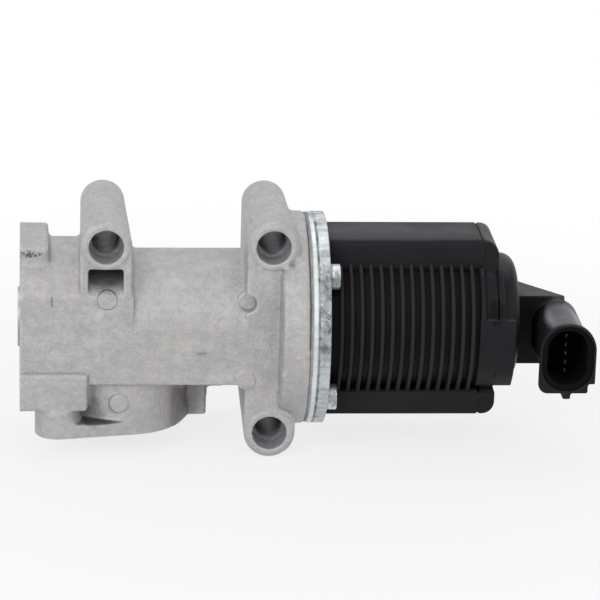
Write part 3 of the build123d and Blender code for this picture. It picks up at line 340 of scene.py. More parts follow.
def castMetal(look):
    material, tree, shader, place = startMaterial("castAluminium", {
        "Metallic": 0.45, "Specular IOR Level": 0.35})
    aside = vectorNode(tree, "ADD", place, look["warmOffset"])
    patches = maskOf(tree, patchGroup, place, {"Scale": look["patchScale"]})
    warmth = maskOf(tree, patchGroup, aside, {"Scale": look["patchScale"] * look["warmScale"]})
    mottle = maskOf(tree, patchGroup, place, {"Scale": look["mottleScale"]})
    streaks = maskOf(tree, streakGroup, place, {"Scale": 260.0, "Stretch": (0.25, 1.0, 1.6)})
    grain = useGroup(tree, grainGroup, place, {"Scale": look["grainScale"], "Flecks": 0.62})
    wearAndLight = useGroup(tree, edgeAndCreaseGroup, place, {
        "Start": 0.511, "End": 0.56, "Hollow Start": 0.511, "Hollow End": 0.56})
    calm = mathNode(tree, "MULTIPLY_ADD", patches, look["patchShare"], look["patchShare"])
    colour = mixColour(tree, calm, look["dark"], look["light"])
    for mask, share, tone in (
            (warmth, "warmShare", "warm"), (streaks, "streakShare", "dark"), (mottle, "mottleShare", "dark"),
            # The outer edges take the pale edge tone: worn edges and painted highlights
            (grain["Fleck"], "fleckShare", "edge"), (wearAndLight["Edge"], "edgeShare", "edge"),
            # Painted shade in the inner corners, in the brown tone
            (wearAndLight["Hollow"], "creaseShadeShare", "stainAndShade")):
        colour = tinted(tree, colour, mask, look[share], look[tone])
    for *spot, tone, share in look["marks"]:
        colour = tinted(tree, colour, spotMask(tree, place, *spot), share, look[tone])
    # Painted shadow in the upper part of the ear's pocket, under its overhang
    pocket = maskOf(tree, tubeMaskGroup, place, look["pocket"])
    pocketShade = mathNode(tree, "MULTIPLY", pocket, spotMask(tree, place, *look["pocketShade"]))
    colour = tinted(tree, colour, pocketShade, look["pocketShadeShare"], look["chipAndShade"])
    gloss = mathNode(tree, "MULTIPLY_ADD", patches, look["roughnessSpread"], look["roughness"])
    for x, z in look["holes"]:
        # A machined wall, with painted shade that gets darker with depth
        hole = maskOf(tree, tubeMaskGroup, place, {"Centre": (x, 0.0, z), **look["holeShape"]})
        holeShade = spotMask(tree, place, (x, look["holeShadeY"], z), *look["holeShade"])
        colour = mixColour(tree, hole, colour, look["machined"])
        holeShadeMask = mathNode(tree, "MULTIPLY", hole, holeShade)
        colour = tinted(tree, colour, holeShadeMask, look["holeShadeShare"], look["chipAndShade"])
        gloss = mathNode(tree, "MULTIPLY_ADD", hole, look["holePolish"], gloss)
    height = grain["Height"]
    for centre, lift in look["pads"]:
        disc = maskOf(tree, discGroup, place, {"Centre": centre, "Radius": look["padRadius"]})
        height = mathNode(tree, "MULTIPLY_ADD", disc, lift, height)
    dress(tree, shader, colour, gloss, height, look["grainDepth"])
    return material


# Bright plating, mottled, with a few dull smudges and painted dark reflections, each with its place, radius,
# stretch and share

plating = {
    "smudgeAndReflection": (0.07, 0.085, 0.09), "edge": (0.9, 0.92, 0.94), "spotRaggedness": 0.5, "spotNoise": 1300.0,
    "streakShare": 0.5, "patchShare": 0.5, "edgeShare": 0.5, "roughnessSpread": 0.22, "grainDepth": 0.00004,
}


def platedSteel(name, light, dark, roughness, streakStretch, smudgesAndReflections=(), metallic=0.85):
    material, tree, shader, place = startMaterial(name, {"Metallic": metallic})
    patches = maskOf(tree, patchGroup, place, {"Scale": 120.0})
    streaks = maskOf(tree, streakGroup, place, {"Scale": 500.0, "Stretch": streakStretch})
    grain = useGroup(tree, grainGroup, place, {"Scale": 2600.0, "Flecks": 0.7})
    wearAndLight = useGroup(tree, edgeAndCreaseGroup, place)
    patchPart = mathNode(tree, "MULTIPLY", patches, plating["patchShare"])
    shade = mathNode(tree, "MULTIPLY_ADD", streaks, plating["streakShare"], patchPart)
    colour = mixColour(tree, shade, light, dark)
    for *spot, share in smudgesAndReflections:
        smudgeAndReflection = spotMask(tree, place, *spot, plating["spotRaggedness"], plating["spotNoise"])
        colour = tinted(tree, colour, smudgeAndReflection, share, plating["smudgeAndReflection"])
    # Worn edges and painted highlights in the pale edge tone
    colour = tinted(tree, colour, wearAndLight["Edge"], plating["edgeShare"], plating["edge"])
    gloss = mathNode(tree, "MULTIPLY_ADD", shade, plating["roughnessSpread"], roughness)
    dress(tree, shader, colour, gloss, grain["Height"], plating["grainDepth"])
    return material


# Black glass-filled plastic: fine erosion grain, uneven gloss, dust and painted light on top, painted shade in
# its bores and grooves.
# A mark holds its place, radius, stretch and tone

plastic = {
    "patchShare": 0.35, "fleckShare": 0.2, "edgeShare": 0.25, "roughnessSpread": 0.12, "markRaggedness": 0.06,
    "markNoise": 500.0, "boreRoughness": 0.75,
}


def mouldedPlastic(name, look):
    material, tree, shader, place = startMaterial(name, {
        "Metallic": 0.0, "Specular IOR Level": look["specular"]})
    patches = maskOf(tree, patchGroup, place, {"Scale": 80.0})
    dustAndTopLight = maskOf(tree, dustAndTopLightGroup, place, {"Scale": 140.0})
    grain = useGroup(tree, grainGroup, place, {"Scale": 2200.0, "Flecks": 0.68})
    wearAndLight = useGroup(tree, edgeAndCreaseGroup, place, {"Start": 0.54, "End": 0.66})
    colour = tinted(tree, look["tone"], patches, plastic["patchShare"], look["paleTone"])
    colour = tinted(tree, colour, grain["Fleck"], plastic["fleckShare"], look["paleTone"])
    # Worn edges and painted highlights in the pale tone
    colour = tinted(tree, colour, wearAndLight["Edge"], plastic["edgeShare"], look["paleTone"])
    gloss = mathNode(tree, "MULTIPLY_ADD", patches, plastic["roughnessSpread"], look["roughness"])
    for *spot, tone in look["marks"]:
        mark = spotMask(tree, place, *spot, plastic["markRaggedness"], plastic["markNoise"])
        colour = mixColour(tree, mark, colour, tone)
    # Dust and painted light on the faces that look up
    colour = tinted(tree, colour, dustAndTopLight, look["dustAndTopLightAmount"], look["dustAndTopLight"])
    # Painted shade on the barrel between the ribs
    if look["shadedGrooveRadius"]:
        grooveShade = maskOf(tree, depthGroup, place, {"Radius": look["shadedGrooveRadius"]})
        colour = mixColour(tree, grooveShade, colour, look["paintedShadeTone"])
    # Painted shade inside the connector's bores
    for bore in look["shadedBores"]:
        inside = maskOf(tree, tubeMaskGroup, place, bore)
        colour = mixColour(tree, inside, colour, look["paintedShadeTone"])
        gloss = mathNode(tree, "MAXIMUM", gloss, mathNode(tree, "MULTIPLY", inside, plastic["boreRoughness"]))
    dress(tree, shader, colour, gloss, grain["Height"], look["grainDepth"])
    return material


# Plain metals, and the dull solids: rubber, ferrite, graphite, laminate and enamel

turned = {"patchShare": 0.3, "roughnessSpread": 0.15, "lineDepth": 0.00003}
dull = {"specular": 0.15, "roughnessSpread": 0.1}


def turnedMetal(name, light, dark, roughness, stretch, metallic=0.9):
    # Lathe-turned or ground metal with fine lines and a few dull patches
    material, tree, shader, place = startMaterial(name, {"Metallic": metallic})
    lines = maskOf(tree, streakGroup, place, {"Scale": 900.0, "Stretch": stretch})
    patches = maskOf(tree, patchGroup, place, {"Scale": 150.0})
    colour = tinted(tree, mixColour(tree, lines, light, dark), patches, turned["patchShare"], dark)
    gloss = mathNode(tree, "MULTIPLY_ADD", lines, turned["roughnessSpread"], roughness)
    dress(tree, shader, colour, gloss, lines, turned["lineDepth"])
    return material


def dullSolid(name, tone, paleTone, roughness, grainScale=900.0, grainDepth=0.00005):
    material, tree, shader, place = startMaterial(name, {
        "Metallic": 0.0, "Specular IOR Level": dull["specular"]})
    patches = maskOf(tree, patchGroup, place, {"Scale": 200.0})
    grain = useGroup(tree, grainGroup, place, {"Scale": grainScale})
    colour = mixColour(tree, patches, tone, paleTone)
    gloss = mathNode(tree, "MULTIPLY_ADD", patches, dull["roughnessSpread"], roughness)
    dress(tree, shader, colour, gloss, grain["Height"], grainDepth)
    return material


# Smudges of the flange's rim, painted dark reflections on the screw heads, and the dark joint line before the
# flange

rimMiddle = (flangeBox[0].x + flangeBox[1].x) / 2
rimFront = rimMiddle - 0.0017
headMiddle = housingBox[0].x + 0.0021
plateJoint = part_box("adapter_plate")[1][0]
jointLine = ((plateJoint + 0.0002, 0.0, 0.0), 0.0006, (1.0, 0.002, 0.002), 0.95)
rimSmudges = (jointLine,
              ((rimFront, -0.0305, 0.0175), 0.0100, (3.6, 0.8, 0.8), 0.85),
              ((rimFront, -0.0350, 0.0030), 0.0080, (4.2, 0.8, 0.8), 0.65),
              ((rimMiddle, 0.0090, 0.0345), 0.0130, (1.2, 0.9, 0.9), 0.45))
# Painted dark reflections across the two screw heads in view
headReflections = (((headMiddle, -0.0250, 0.0212), 0.0024, (1.2, 0.6, 0.8), 0.7),
               ((headMiddle, -0.0250, -0.0206), 0.0024, (1.2, 0.6, 0.8), 0.7))


# Looks of the plastic pieces

housingLook = {
    "tone": (0.0150, 0.0143, 0.0165), "paleTone": (0.026, 0.025, 0.029), "paintedShadeTone": (0.0055, 0.0053, 0.006),
    "dustAndTopLight": (0.066, 0.065, 0.073), "dustAndTopLightAmount": 0.75, "roughness": 0.48, "specular": 0.11,
    "grainDepth": 0.00005, "shadedGrooveRadius": 0.0238, "shadedBores": (), "marks": (),
}
# The ribs take a lighter copy of the housing plastic: painted light on their crests
litRibLook = dict(housingLook, tone=(0.0235, 0.0225, 0.0250), paleTone=(0.038, 0.0365, 0.041))
plugCentre = (0.1803, 0.0, -0.0045)
clipGapShade = (0.003, 0.003, 0.004)
capLook = {
    "tone": (0.0135, 0.0128, 0.0150), "paleTone": (0.025, 0.024, 0.028), "paintedShadeTone": (0.0030, 0.0030, 0.0034),
    "dustAndTopLight": (0.062, 0.061, 0.069), "dustAndTopLightAmount": 0.8, "roughness": 0.36, "specular": 0.11,
    "grainDepth": 0.00004, "shadedGrooveRadius": 0,
    # Painted shade inside the connector socket and across its mouth
    "shadedBores": (
        {"Centre": plugCentre, "Core": (0.0007, 1.0, 0.0034), "Radius": 0.0067, "Mouth": -0.0300,
         "Depth": -0.0080},
        {"Centre": plugCentre, "Core": (0.0004, 1.0, 0.0031), "Radius": 0.0082, "Mouth": -0.0303,
         "Depth": -0.0286},
    ),
    # Marks: painted shadow on the arm's front face, a painted reflection on the top of the connector tube,
    # painted shade in the clip's window and gaps
    "marks": (((0.1690, -0.0010, -0.0060), 0.0120, (0.9, 1.0, 0.75), (0.005, 0.005, 0.006)),
              ((0.1812, -0.0150, 0.0066), 0.0102, (1.05, 0.62, 1.7), (0.36, 0.36, 0.41)),
              ((0.1567, -0.0235, 0.0099), 0.0036, (1.1, 0.6, 0.62), clipGapShade),
              ((0.1568, -0.0216, -0.0138), 0.0016, (0.9, 1.0, 2.6), clipGapShade),
              ((0.1574, -0.0220, -0.0126), 0.0016, (2.6, 1.0, 0.9), clipGapShade)),
}


# The materials by name, with two tones, a roughness and the stretch of the lines where there are any

alongStem = (0.12, 1.0, 1.0)
roundStem = (1.0, 0.08, 0.08)
alongBlade = (1.0, 0.1, 1.0)
castAluminium = castMetal(castLook)
finishes = {}
for name, look in (("housingPlastic", housingLook), ("litRibPlastic", litRibLook), ("capPlastic", capLook)):
    finishes[name] = mouldedPlastic(name, look)
for name, *values in (
        ("zincPlate", (0.56, 0.60, 0.62), (0.22, 0.245, 0.26), 0.3, alongStem, rimSmudges),
        ("adapterZinc", (0.82, 0.86, 0.88), (0.60, 0.64, 0.66), 0.32, alongStem, (), 0.5),
        ("zincScrew", (0.66, 0.70, 0.71), (0.42, 0.46, 0.48), 0.22, roundStem, headReflections)):
    finishes[name] = platedSteel(name, *values)
for name, *values in (
        ("turnedSteel", (0.62, 0.61, 0.6), (0.42, 0.415, 0.41), 0.28, roundStem),
        ("springSteel", (0.4, 0.4, 0.41), (0.24, 0.24, 0.25), 0.35, alongStem),
        ("bearingSteel", (0.72, 0.72, 0.73), (0.55, 0.55, 0.56), 0.12, roundStem, 1.0),
        ("pressedSteel", (0.5, 0.5, 0.51), (0.34, 0.34, 0.35), 0.38, alongStem),
        ("sinteredBronze", (0.55, 0.37, 0.2), (0.36, 0.23, 0.12), 0.4, roundStem),
        ("turnedCopper", (0.74, 0.38, 0.22), (0.5, 0.24, 0.13), 0.25, roundStem, 1.0),
        # The terminals' tinned brass is painted near black: painted shade inside the socket
        ("tinnedBrass", (0.035, 0.032, 0.028), (0.02, 0.018, 0.016), 0.3, alongBlade, 1.0)):
    finishes[name] = turnedMetal(name, *values)
for name, *values in (
        ("enamelledCopper", (0.42, 0.15, 0.06), (0.55, 0.24, 0.1), 0.25, 1500.0, 0.0001),
        ("ferrite", (0.07, 0.07, 0.075), (0.12, 0.12, 0.125), 0.6),
        ("graphite", (0.035, 0.035, 0.038), (0.07, 0.07, 0.075), 0.5),
        ("sealRubber", (0.015, 0.015, 0.016), (0.035, 0.035, 0.036), 0.6),
        ("gasketSheet", (0.27, 0.272, 0.275), (0.42, 0.422, 0.425), 0.6),
        ("brownPlastic", (0.1, 0.055, 0.03), (0.16, 0.09, 0.05), 0.45),
        ("boardLaminate", (0.02, 0.11, 0.05), (0.03, 0.16, 0.07), 0.35)):
    finishes[name] = dullSolid(name, *values)
nodeFinishes = {
    "turnedSteel": ("valve_seat_ring", "valve_stem", "gas_deflector", "rotor_shaft", "drive_spindle"),
    "sinteredBronze": ("stem_guide_bush",),
    "sealRubber": ("stem_seal", "housing_seal", "cap_seal"),
    "springSteel": ("brush_springs",),
    "pressedSteel": ("spring_retainer", "retainer_collets", "motor_can", "rotor_core", "rear_bearing_plate",
                     "housing_screws"),
    "gasketSheet": ("flange_gasket",),
    "zincPlate": ("motor_flange",),
    "adapterZinc": ("adapter_plate",),
    "tinnedBrass": ("connector_terminals",),
    "ferrite": ("field_magnets", "position_magnet"),
    "enamelledCopper": ("rotor_windings", "motor_leads"),
    "turnedCopper": ("commutator",),
    "brownPlastic": ("spindle_guide", "brush_holder"),
    "bearingSteel": ("front_bearing_outer", "front_bearing_inner", "front_bearing_balls", "rear_bearing_outer",
                     "rear_bearing_inner", "rear_bearing_balls"),
    "graphite": ("carbon_brushes",),
    "boardLaminate": ("sensor_board",),
}
for finish, nodeNames in nodeFinishes.items():
    for nodeName in nodeNames:
        for slot in nodes[nodeName].material_slots:
            slot.material = finishes[finish]
print("materials built:", len(finishes) + 1)


# Mesh helpers

def newPiece(name, mesh, material, bodyName, slotName, *replaced):
    piece = bpy.data.objects.new(name, mesh)
    scene.collection.objects.link(piece)
    piece.data.materials.clear()
    piece.data.materials.append(material)
    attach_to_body(piece, bodyName)
    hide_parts(*replaced)
    return piece


def meshFrom(name, shape, smooth=False):
    mesh = bpy.data.meshes.new(name)
    shape.to_mesh(mesh)
    shape.free()
    if smooth:
        mesh.shade_smooth()
    return mesh


def bridgeRings(shape, ring, nextRing):
    # A closed band of four-sided faces between two rings of vertices
    for corners in zip(ring, ring[1:] + ring[:1], nextRing[1:] + nextRing[:1], nextRing):
        shape.faces.new(corners)


def evaluatedMesh(name, mesh, addModifiers):
    # Runs modifiers on a mesh and returns the result as a plain mesh
    carrier = bpy.data.objects.new(name, mesh)
    scene.collection.objects.link(carrier)
    addModifiers(carrier)
    bpy.context.view_layer.update()
    done = bpy.data.meshes.new_from_object(carrier.evaluated_get(bpy.context.evaluated_depsgraph_get()))
    done.name = name
    bpy.data.objects.remove(carrier)
    return done


def setVoxels(carrier, size):
    remesh = carrier.modifiers.new("even", "REMESH")
    remesh.mode = "VOXEL"
    remesh.voxel_size = size


def thinOut(carrier, share):
    decimate = carrier.modifiers.new("thinner", "DECIMATE")
    decimate.ratio = share


# Softened solids: smoothed fully within half the radius of a sharp edge, not at all past four thirds of it

smoothing = {"weld": 1e-6, "onPlane": 2e-5, "startWeight": 1.6, "weightFall": 1.2, "step": 0.55}


def neighbourMean(points, edges, counts):
    total = np.zeros_like(points)
    for axis in range(3):
        total[:, axis] = (np.bincount(edges[:, 0], points[edges[:, 1], axis], len(points))
                          + np.bincount(edges[:, 1], points[edges[:, 0], axis], len(points)))
    return total / counts[:, None]


def sharpSamples(solid, settings):
    # Points along the sharp edges in a search tree, and the radius to soften round each
    samples, radii = [], []
    for edge in solid.edges:
        if len(edge.link_faces) == 2 and edge.calc_face_angle(0) > settings["sharpAngle"]:
            first, last = edge.verts[0].co, edge.verts[1].co
            crisp = any(max(abs(first[axis] - place), abs(last[axis] - place)) < smoothing["onPlane"]
                        for axis, place in settings["crispPlanes"].values())
            crisp = crisp or any((first - Vector(centre)).length < reach
                                 for centre, reach in settings["crispPlaces"].values())
            steps = max(1, int((last - first).length / settings["sampleStep"]))
            samples += [first.lerp(last, step / steps) for step in range(steps + 1)]
            radii += [settings["crispRadius"] if crisp else settings["softRadius"]] * (steps + 1)
    tree = kdtree.KDTree(len(samples))
    for index, sample in enumerate(samples):
        tree.insert(sample, index)
    tree.balance()
    return tree, radii


def softened(name, nodeName, settings):
    # Remeshes a solid evenly, lays it back on the solid's faces and rounds what lies near its sharp edges
    solid = bmesh.new()
    solid.from_mesh(nodes[nodeName].data)
    bmesh.ops.remove_doubles(solid, verts=solid.verts, dist=smoothing["weld"])
    surface = BVHTree.FromBMesh(solid)
    tree, radii = sharpSamples(solid, settings)
    for middle, size in settings["filled"]:
        block = Matrix.Translation(middle) @ Matrix.Diagonal((*size, 1))
        bmesh.ops.create_cube(solid, size=1, matrix=block)
    coarse = meshFrom(name + "Source", solid)
    mesh = evaluatedMesh(name, coarse, lambda carrier: setVoxels(carrier, settings["voxel"]))
    points = np.empty(len(mesh.vertices) * 3, np.float32)
    mesh.vertices.foreach_get("co", points)
    points = points.reshape(-1, 3).astype(float)
    weight = np.zeros(len(points))
    for index, point in enumerate(points):
        place = surface.find_nearest(point)[0]
        points[index] = place
        number, distance = tree.find(place)[1:]
        fall = smoothing["weightFall"] * distance / radii[number]
        weight[index] = min(1.0, max(0.0, smoothing["startWeight"] - fall))
        if radii[number] == settings["crispRadius"]:
            weight[index] *= settings["crispShare"]
    edges = np.empty(len(mesh.edges) * 2, np.int32)
    mesh.edges.foreach_get("vertices", edges)
    edges = edges.reshape(-1, 2)
    counts = np.bincount(edges.ravel(), minlength=len(points)).astype(float)
    for _ in range(settings["rounds"]):
        mean = neighbourMean(points, edges, counts)
        points += (mean - points) * (smoothing["step"] * weight)[:, None]
    mesh.vertices.foreach_set("co", points.astype(np.float32).ravel())
    mesh.update()
    mesh = evaluatedMesh(name, mesh, lambda carrier: thinOut(carrier, settings["keptShare"]))
    mesh.shade_smooth()
    print(name, "triangles:", sum(len(face.vertices) - 2 for face in mesh.polygons))
    return mesh


# Valve housing: the casting, with soft cast corners and crisper machined edges. A crisp plane holds its axis
# and where it crosses it; a crisp place holds its centre and reach

casting = {
    "voxel": 0.00052, "sharpAngle": 0.42, "sampleStep": 0.0004, "rounds": 14,
    "softRadius": 0.0011, "crispRadius": 0.0005, "crispShare": 0.15, "filled": (), "keptShare": 0.42,
    "crispPlanes": {
        "seatEnd": (0, castBox[0].x), "flangeEnd": (0, castBox[1].x), "earFront": (1, -0.0228),
        "earRing": (1, -0.0234), "raisedPad": (1, -0.02295), "sunkPad": (1, -0.0224), "rightPad": (1, -0.0197),
        "earBack": (1, 0.030), "outlet": (2, -0.0345), "frontEdge": (2, -0.0163),
    },
    "crispPlaces": {
        "neckPad": ((0.0326, -0.0218, -0.0232), 0.0038), "limbCorner": ((0.0186, -0.0228, -0.0250), 0.0040),
        "leftPad": ((0.0279, -0.0220, 0.0140), 0.0042),
    },
}
castingMesh = softened("valveCasting", "valve_housing", casting)
newPiece("valveCasting", castingMesh, castAluminium, "base", "cast_aluminium", "valve_housing")
print("casting done")


# Motor housing: smooth barrel with its top box and foot

housing = {
    "coreRadius": 23.5 * mm, "boreRadius": 21.7 * mm, "boxHalfWidth": 12.0 * mm, "boxTop": housingBox[1].z,
    "boxCorner": 3.0 * mm, "footHalfWidth": 16.0 * mm, "footTop": -21.0 * mm, "footBottom": housingBox[0].z,
    "footCorner": 1.2 * mm, "arcSteps": 44, "cornerSteps": 8, "edgeBevel": 0.15 * mm, "bevelSegments": 3,
    "bevelAngle": 0.6, "start": housingBox[0].x, "end": housingBox[1].x,
}


def cornerArc(centre, radius, fromAngle, toAngle, steps):
    return [(centre[0] + radius * math.cos(math.radians(a)), centre[1] + radius * math.sin(math.radians(a)))
            for a in np.linspace(fromAngle, toAngle, steps + 1)]


def housingOutline(size):
    # Right half from top to bottom as (y, z), then mirrored to a closed loop
    boxJoin = math.degrees(math.acos(size["boxHalfWidth"] / size["coreRadius"]))
    ledgeJoin = math.degrees(math.asin(size["footTop"] / size["coreRadius"]))
    half = [(0.0, size["boxTop"])]
    half += cornerArc((size["boxHalfWidth"] - size["boxCorner"], size["boxTop"] - size["boxCorner"]),
                      size["boxCorner"], 90, 0, size["cornerSteps"])
    half += cornerArc((0, 0), size["coreRadius"], boxJoin, ledgeJoin, size["arcSteps"])
    half += [(size["footHalfWidth"], size["footTop"])]
    half += cornerArc((size["footHalfWidth"] - size["footCorner"], size["footBottom"] + size["footCorner"]),
                      size["footCorner"], 0, -90, size["cornerSteps"])
    half += [(0.0, size["footBottom"])]
    return half + [(-y, z) for y, z in reversed(half[1:-1])]


def makeHousingBarrel(size):
    outline = housingOutline(size)
    bore = size["boreRadius"]
    inner = [(bore * y / math.hypot(y, z), bore * z / math.hypot(y, z)) for y, z in outline]
    start, end = size["start"], size["end"]
    shape = bmesh.new()
    loops = []
    for points, x in ((outline, start), (outline, end), (inner, end), (inner, start)):
        loops.append([shape.verts.new((x, y, z)) for y, z in points])
    for ring, nextRing in zip(loops, loops[1:] + loops[:1]):
        bridgeRings(shape, ring, nextRing)
    bmesh.ops.recalc_face_normals(shape, faces=shape.faces)
    return meshFrom("housingBarrel", shape)


def bevelEdges(carrier):
    bevel = carrier.modifiers.new("bevel", "BEVEL")
    bevel.width = housing["edgeBevel"]
    bevel.segments = housing["bevelSegments"]
    bevel.limit_method = "ANGLE"
    bevel.angle_limit = housing["bevelAngle"]
    bevel.harden_normals = True


barrelMesh = evaluatedMesh("housingBarrel", makeHousingBarrel(housing), bevelEdges)
barrelMesh.shade_smooth()
newPiece("housingBarrel", barrelMesh, finishes["housingPlastic"], "base", "black_plastic", "motor_housing")


# Geometry Nodes for what repeats

def openTree(name, inputs):
    # inputs hold each socket's type by name; also returns the given sockets and their identifiers
    tree = bpy.data.node_groups.new(name, "GeometryNodeTree")
    tree.interface.new_socket("Geometry", in_out="INPUT", socket_type="NodeSocketGeometry")
    sockets = {}
    for label, kind in {**inputs, "Material": "Material"}.items():
        socket = tree.interface.new_socket(label, in_out="INPUT", socket_type="NodeSocket" + kind)
        sockets[label] = socket.identifier
    tree.interface.new_socket("Geometry", in_out="OUTPUT", socket_type="NodeSocketGeometry")
    return tree, tree.nodes.new("NodeGroupInput").outputs, sockets


def closeTree(tree, given, instances):
    # Turns the instances into one smooth mesh with the given material
    real = addNode(tree, "GeometryNodeRealizeInstances", {"Geometry": instances})
    smooth = addNode(tree, "GeometryNodeSetShadeSmooth", {"Geometry": real.outputs["Geometry"]})
    paint = addNode(tree, "GeometryNodeSetMaterial", {
        "Geometry": smooth.outputs["Geometry"], "Material": given["Material"]})
    sink = tree.nodes.new("NodeGroupOutput")
    tree.links.new(paint.outputs["Geometry"], sink.inputs["Geometry"])


def runTree(name, mesh, tree, sockets, values):
    # Applies a Geometry Nodes tree to a mesh with the given named inputs
    def attach(carrier):
        modifier = carrier.modifiers.new(name, "NODES")
        modifier.node_group = tree
        for label, value in values.items():
            modifier[sockets[label]] = value
    return evaluatedMesh(name, mesh, attach)


# Ribs round the barrel, each with gussets down to the foot

ribs = {
    "count": 14, "pitch": 3.35 * mm, "start": housingBox[0].x + 3.8 * mm, "width": 1.3 * mm, "depth": 4.0 * mm,
    "crest": 25.3 * mm, "footReach": 16.0 * mm, "footPlace": -21.4 * mm, "rounding": 0.45 * mm,
    "roundSteps": 3, "arcSteps": 60,
}


def ribPath(size):
    # Closed line that the rib's middle follows: an arc over the top, gussets down to the foot, a bar across
    reach, place = size["footReach"], size["footPlace"]
    middle = size["depth"] / 2
    slope = math.degrees(math.atan2(-place, reach))
    tangent = slope - math.degrees(math.acos(size["crest"] / math.hypot(reach, place)))
    points = cornerArc((0, 0), size["crest"] - middle, -tangent, 180 + tangent, size["arcSteps"])
    inward = math.radians(tangent)
    footY = reach - middle * math.cos(inward)
    footZ = place + middle * math.sin(inward)
    points += [(-footY, footZ), (footY, footZ)]
    shape = bmesh.new()
    ring = [shape.verts.new((size["start"] + size["width"] / 2, y, z)) for y, z in points]
    for ends in zip(ring, ring[1:] + ring[:1]):
        shape.edges.new(ends)
    return meshFrom("ribPath", shape)


def makeRibTree(size):
    # Sweeps a rounded bar along the path and repeats it along X
    tree, given, sockets = openTree("ribRow", {
        "Count": "Int", "Pitch": "Float", "Width": "Float", "Depth": "Float", "Rounding": "Float"})
    path = addNode(tree, "GeometryNodeMeshToCurve", {"Mesh": given["Geometry"]})
    upright = addNode(tree, "GeometryNodeSetCurveNormal", {"Curve": path.outputs["Curve"]})
    bar = addNode(tree, "GeometryNodeCurvePrimitiveQuadrilateral", {
        "Width": given["Width"], "Height": given["Depth"]})
    rounded = addNode(tree, "GeometryNodeFilletCurve", {
        "Curve": bar.outputs["Curve"], "Count": size["roundSteps"], "Radius": given["Rounding"]}, mode="POLY")
    sweep = addNode(tree, "GeometryNodeCurveToMesh", {
        "Curve": upright.outputs["Curve"], "Profile Curve": rounded.outputs["Curve"]})
    step = addNode(tree, "ShaderNodeCombineXYZ", {"X": given["Pitch"]})
    line = addNode(tree, "GeometryNodeMeshLine", {
        "Count": given["Count"], "Offset": step.outputs["Vector"]}, mode="OFFSET")
    row = addNode(tree, "GeometryNodeInstanceOnPoints", {
        "Points": line.outputs["Mesh"], "Instance": sweep.outputs["Mesh"]})
    closeTree(tree, given, row.outputs["Instances"])
    return tree, sockets


ribTree, ribSockets = makeRibTree(ribs)
ribMesh = runTree("housingRibs", ribPath(ribs), ribTree, ribSockets, {
    "Count": ribs["count"], "Pitch": ribs["pitch"], "Width": ribs["width"], "Depth": ribs["depth"],
    "Rounding": ribs["rounding"], "Material": finishes["litRibPlastic"]})
newPiece("housingRibs", ribMesh, finishes["litRibPlastic"], "base", "black_plastic", "motor_housing")
print("motor housing done:", len(ribMesh.polygons), "rib faces")


# Rear cap with clip plates, arm and connector shell. The filled block keeps a thin wall whole in the remesh

cap = {
    "voxel": 0.00040, "sharpAngle": 0.42, "sampleStep": 0.0003, "rounds": 5,
    "softRadius": 0.00045, "crispRadius": 0.0003, "crispShare": 0.1, "keptShare": 0.55,
    "crispPlanes": {"capStart": (0, capBox[0].x), "seam": (0, housingBox[1].x)}, "crispPlaces": {},
    "filled": (((0.1690, 0.00088, -0.0045), (0.010, 0.0018, 0.0146)),),
}
capMesh = softened("rearCapMoulding", "rear_cap", cap)
newPiece("rearCapMoulding", capMesh, finishes["capPlastic"], "base", "black_plastic", "rear_cap")
print("rear cap done")


# Flange screws: one cap screw repeated round the flange

screw = {
    "headRadius": 4.25 * mm, "headHeight": 3.5 * mm, "headChamfer": 0.4 * mm, "socketRadius": 2.3 * mm,
    "socketDepth": 1.8 * mm, "socketFlare": 1.06, "flareDepth": 0.2 * mm, "shankRadius": 2.45 * mm,
    "shankLength": 15.0 * mm, "shankChamfer": 0.4 * mm, "underHead": 0.05 * mm, "underEdge": 0.3 * mm,
    "underChamfer": 0.25 * mm, "circle": 29.6 * mm, "count": 4, "segments": 48, "face": housingBox[0].x,
    "firstPlace": math.radians(45), "mostTurn": math.pi / 3, "turnSeed": 7,
}


def makeScrew(size):
    # Rings from the shank's end up to the socket's floor; the last three are hexagons, given by their scale
    top, rim, chamfer = size["headHeight"], size["headRadius"], size["headChamfer"]
    shank, end = size["shankRadius"], -size["shankLength"]
    flat = size["socketRadius"] * math.cos(math.radians(30))
    rings = (
        (end, shank - size["shankChamfer"]),
        (end + size["shankChamfer"], shank),
        (size["underHead"], shank),
        (size["underHead"], rim - size["underChamfer"]),
        (size["underEdge"], rim),
        (top - chamfer, rim),
        (top - 0.4 * chamfer, rim - 0.25 * chamfer),
        (top, rim - chamfer),
        (top, size["socketFlare"], True),
        (top - size["flareDepth"], 1.0, True),
        (top - size["socketDepth"], 1.0, True),
    )
    shape = bmesh.new()
    loops = []
    for x, radius, *hexed in rings:
        loops.append([])
        for i in range(size["segments"]):
            angle = 2 * math.pi * i / size["segments"]
            turn = (angle + math.radians(30)) % math.radians(60) - math.radians(30)
            r = radius * flat / math.cos(turn) if hexed else radius
            loops[-1].append(shape.verts.new((x, r * math.cos(angle), r * math.sin(angle))))
    for lower, upper in zip(loops, loops[1:]):
        bridgeRings(shape, lower, upper)
    shape.faces.new(list(reversed(loops[0])))
    shape.faces.new(loops[-1])
    bmesh.ops.recalc_face_normals(shape, faces=shape.faces)
    return meshFrom("capScrew", shape, True)


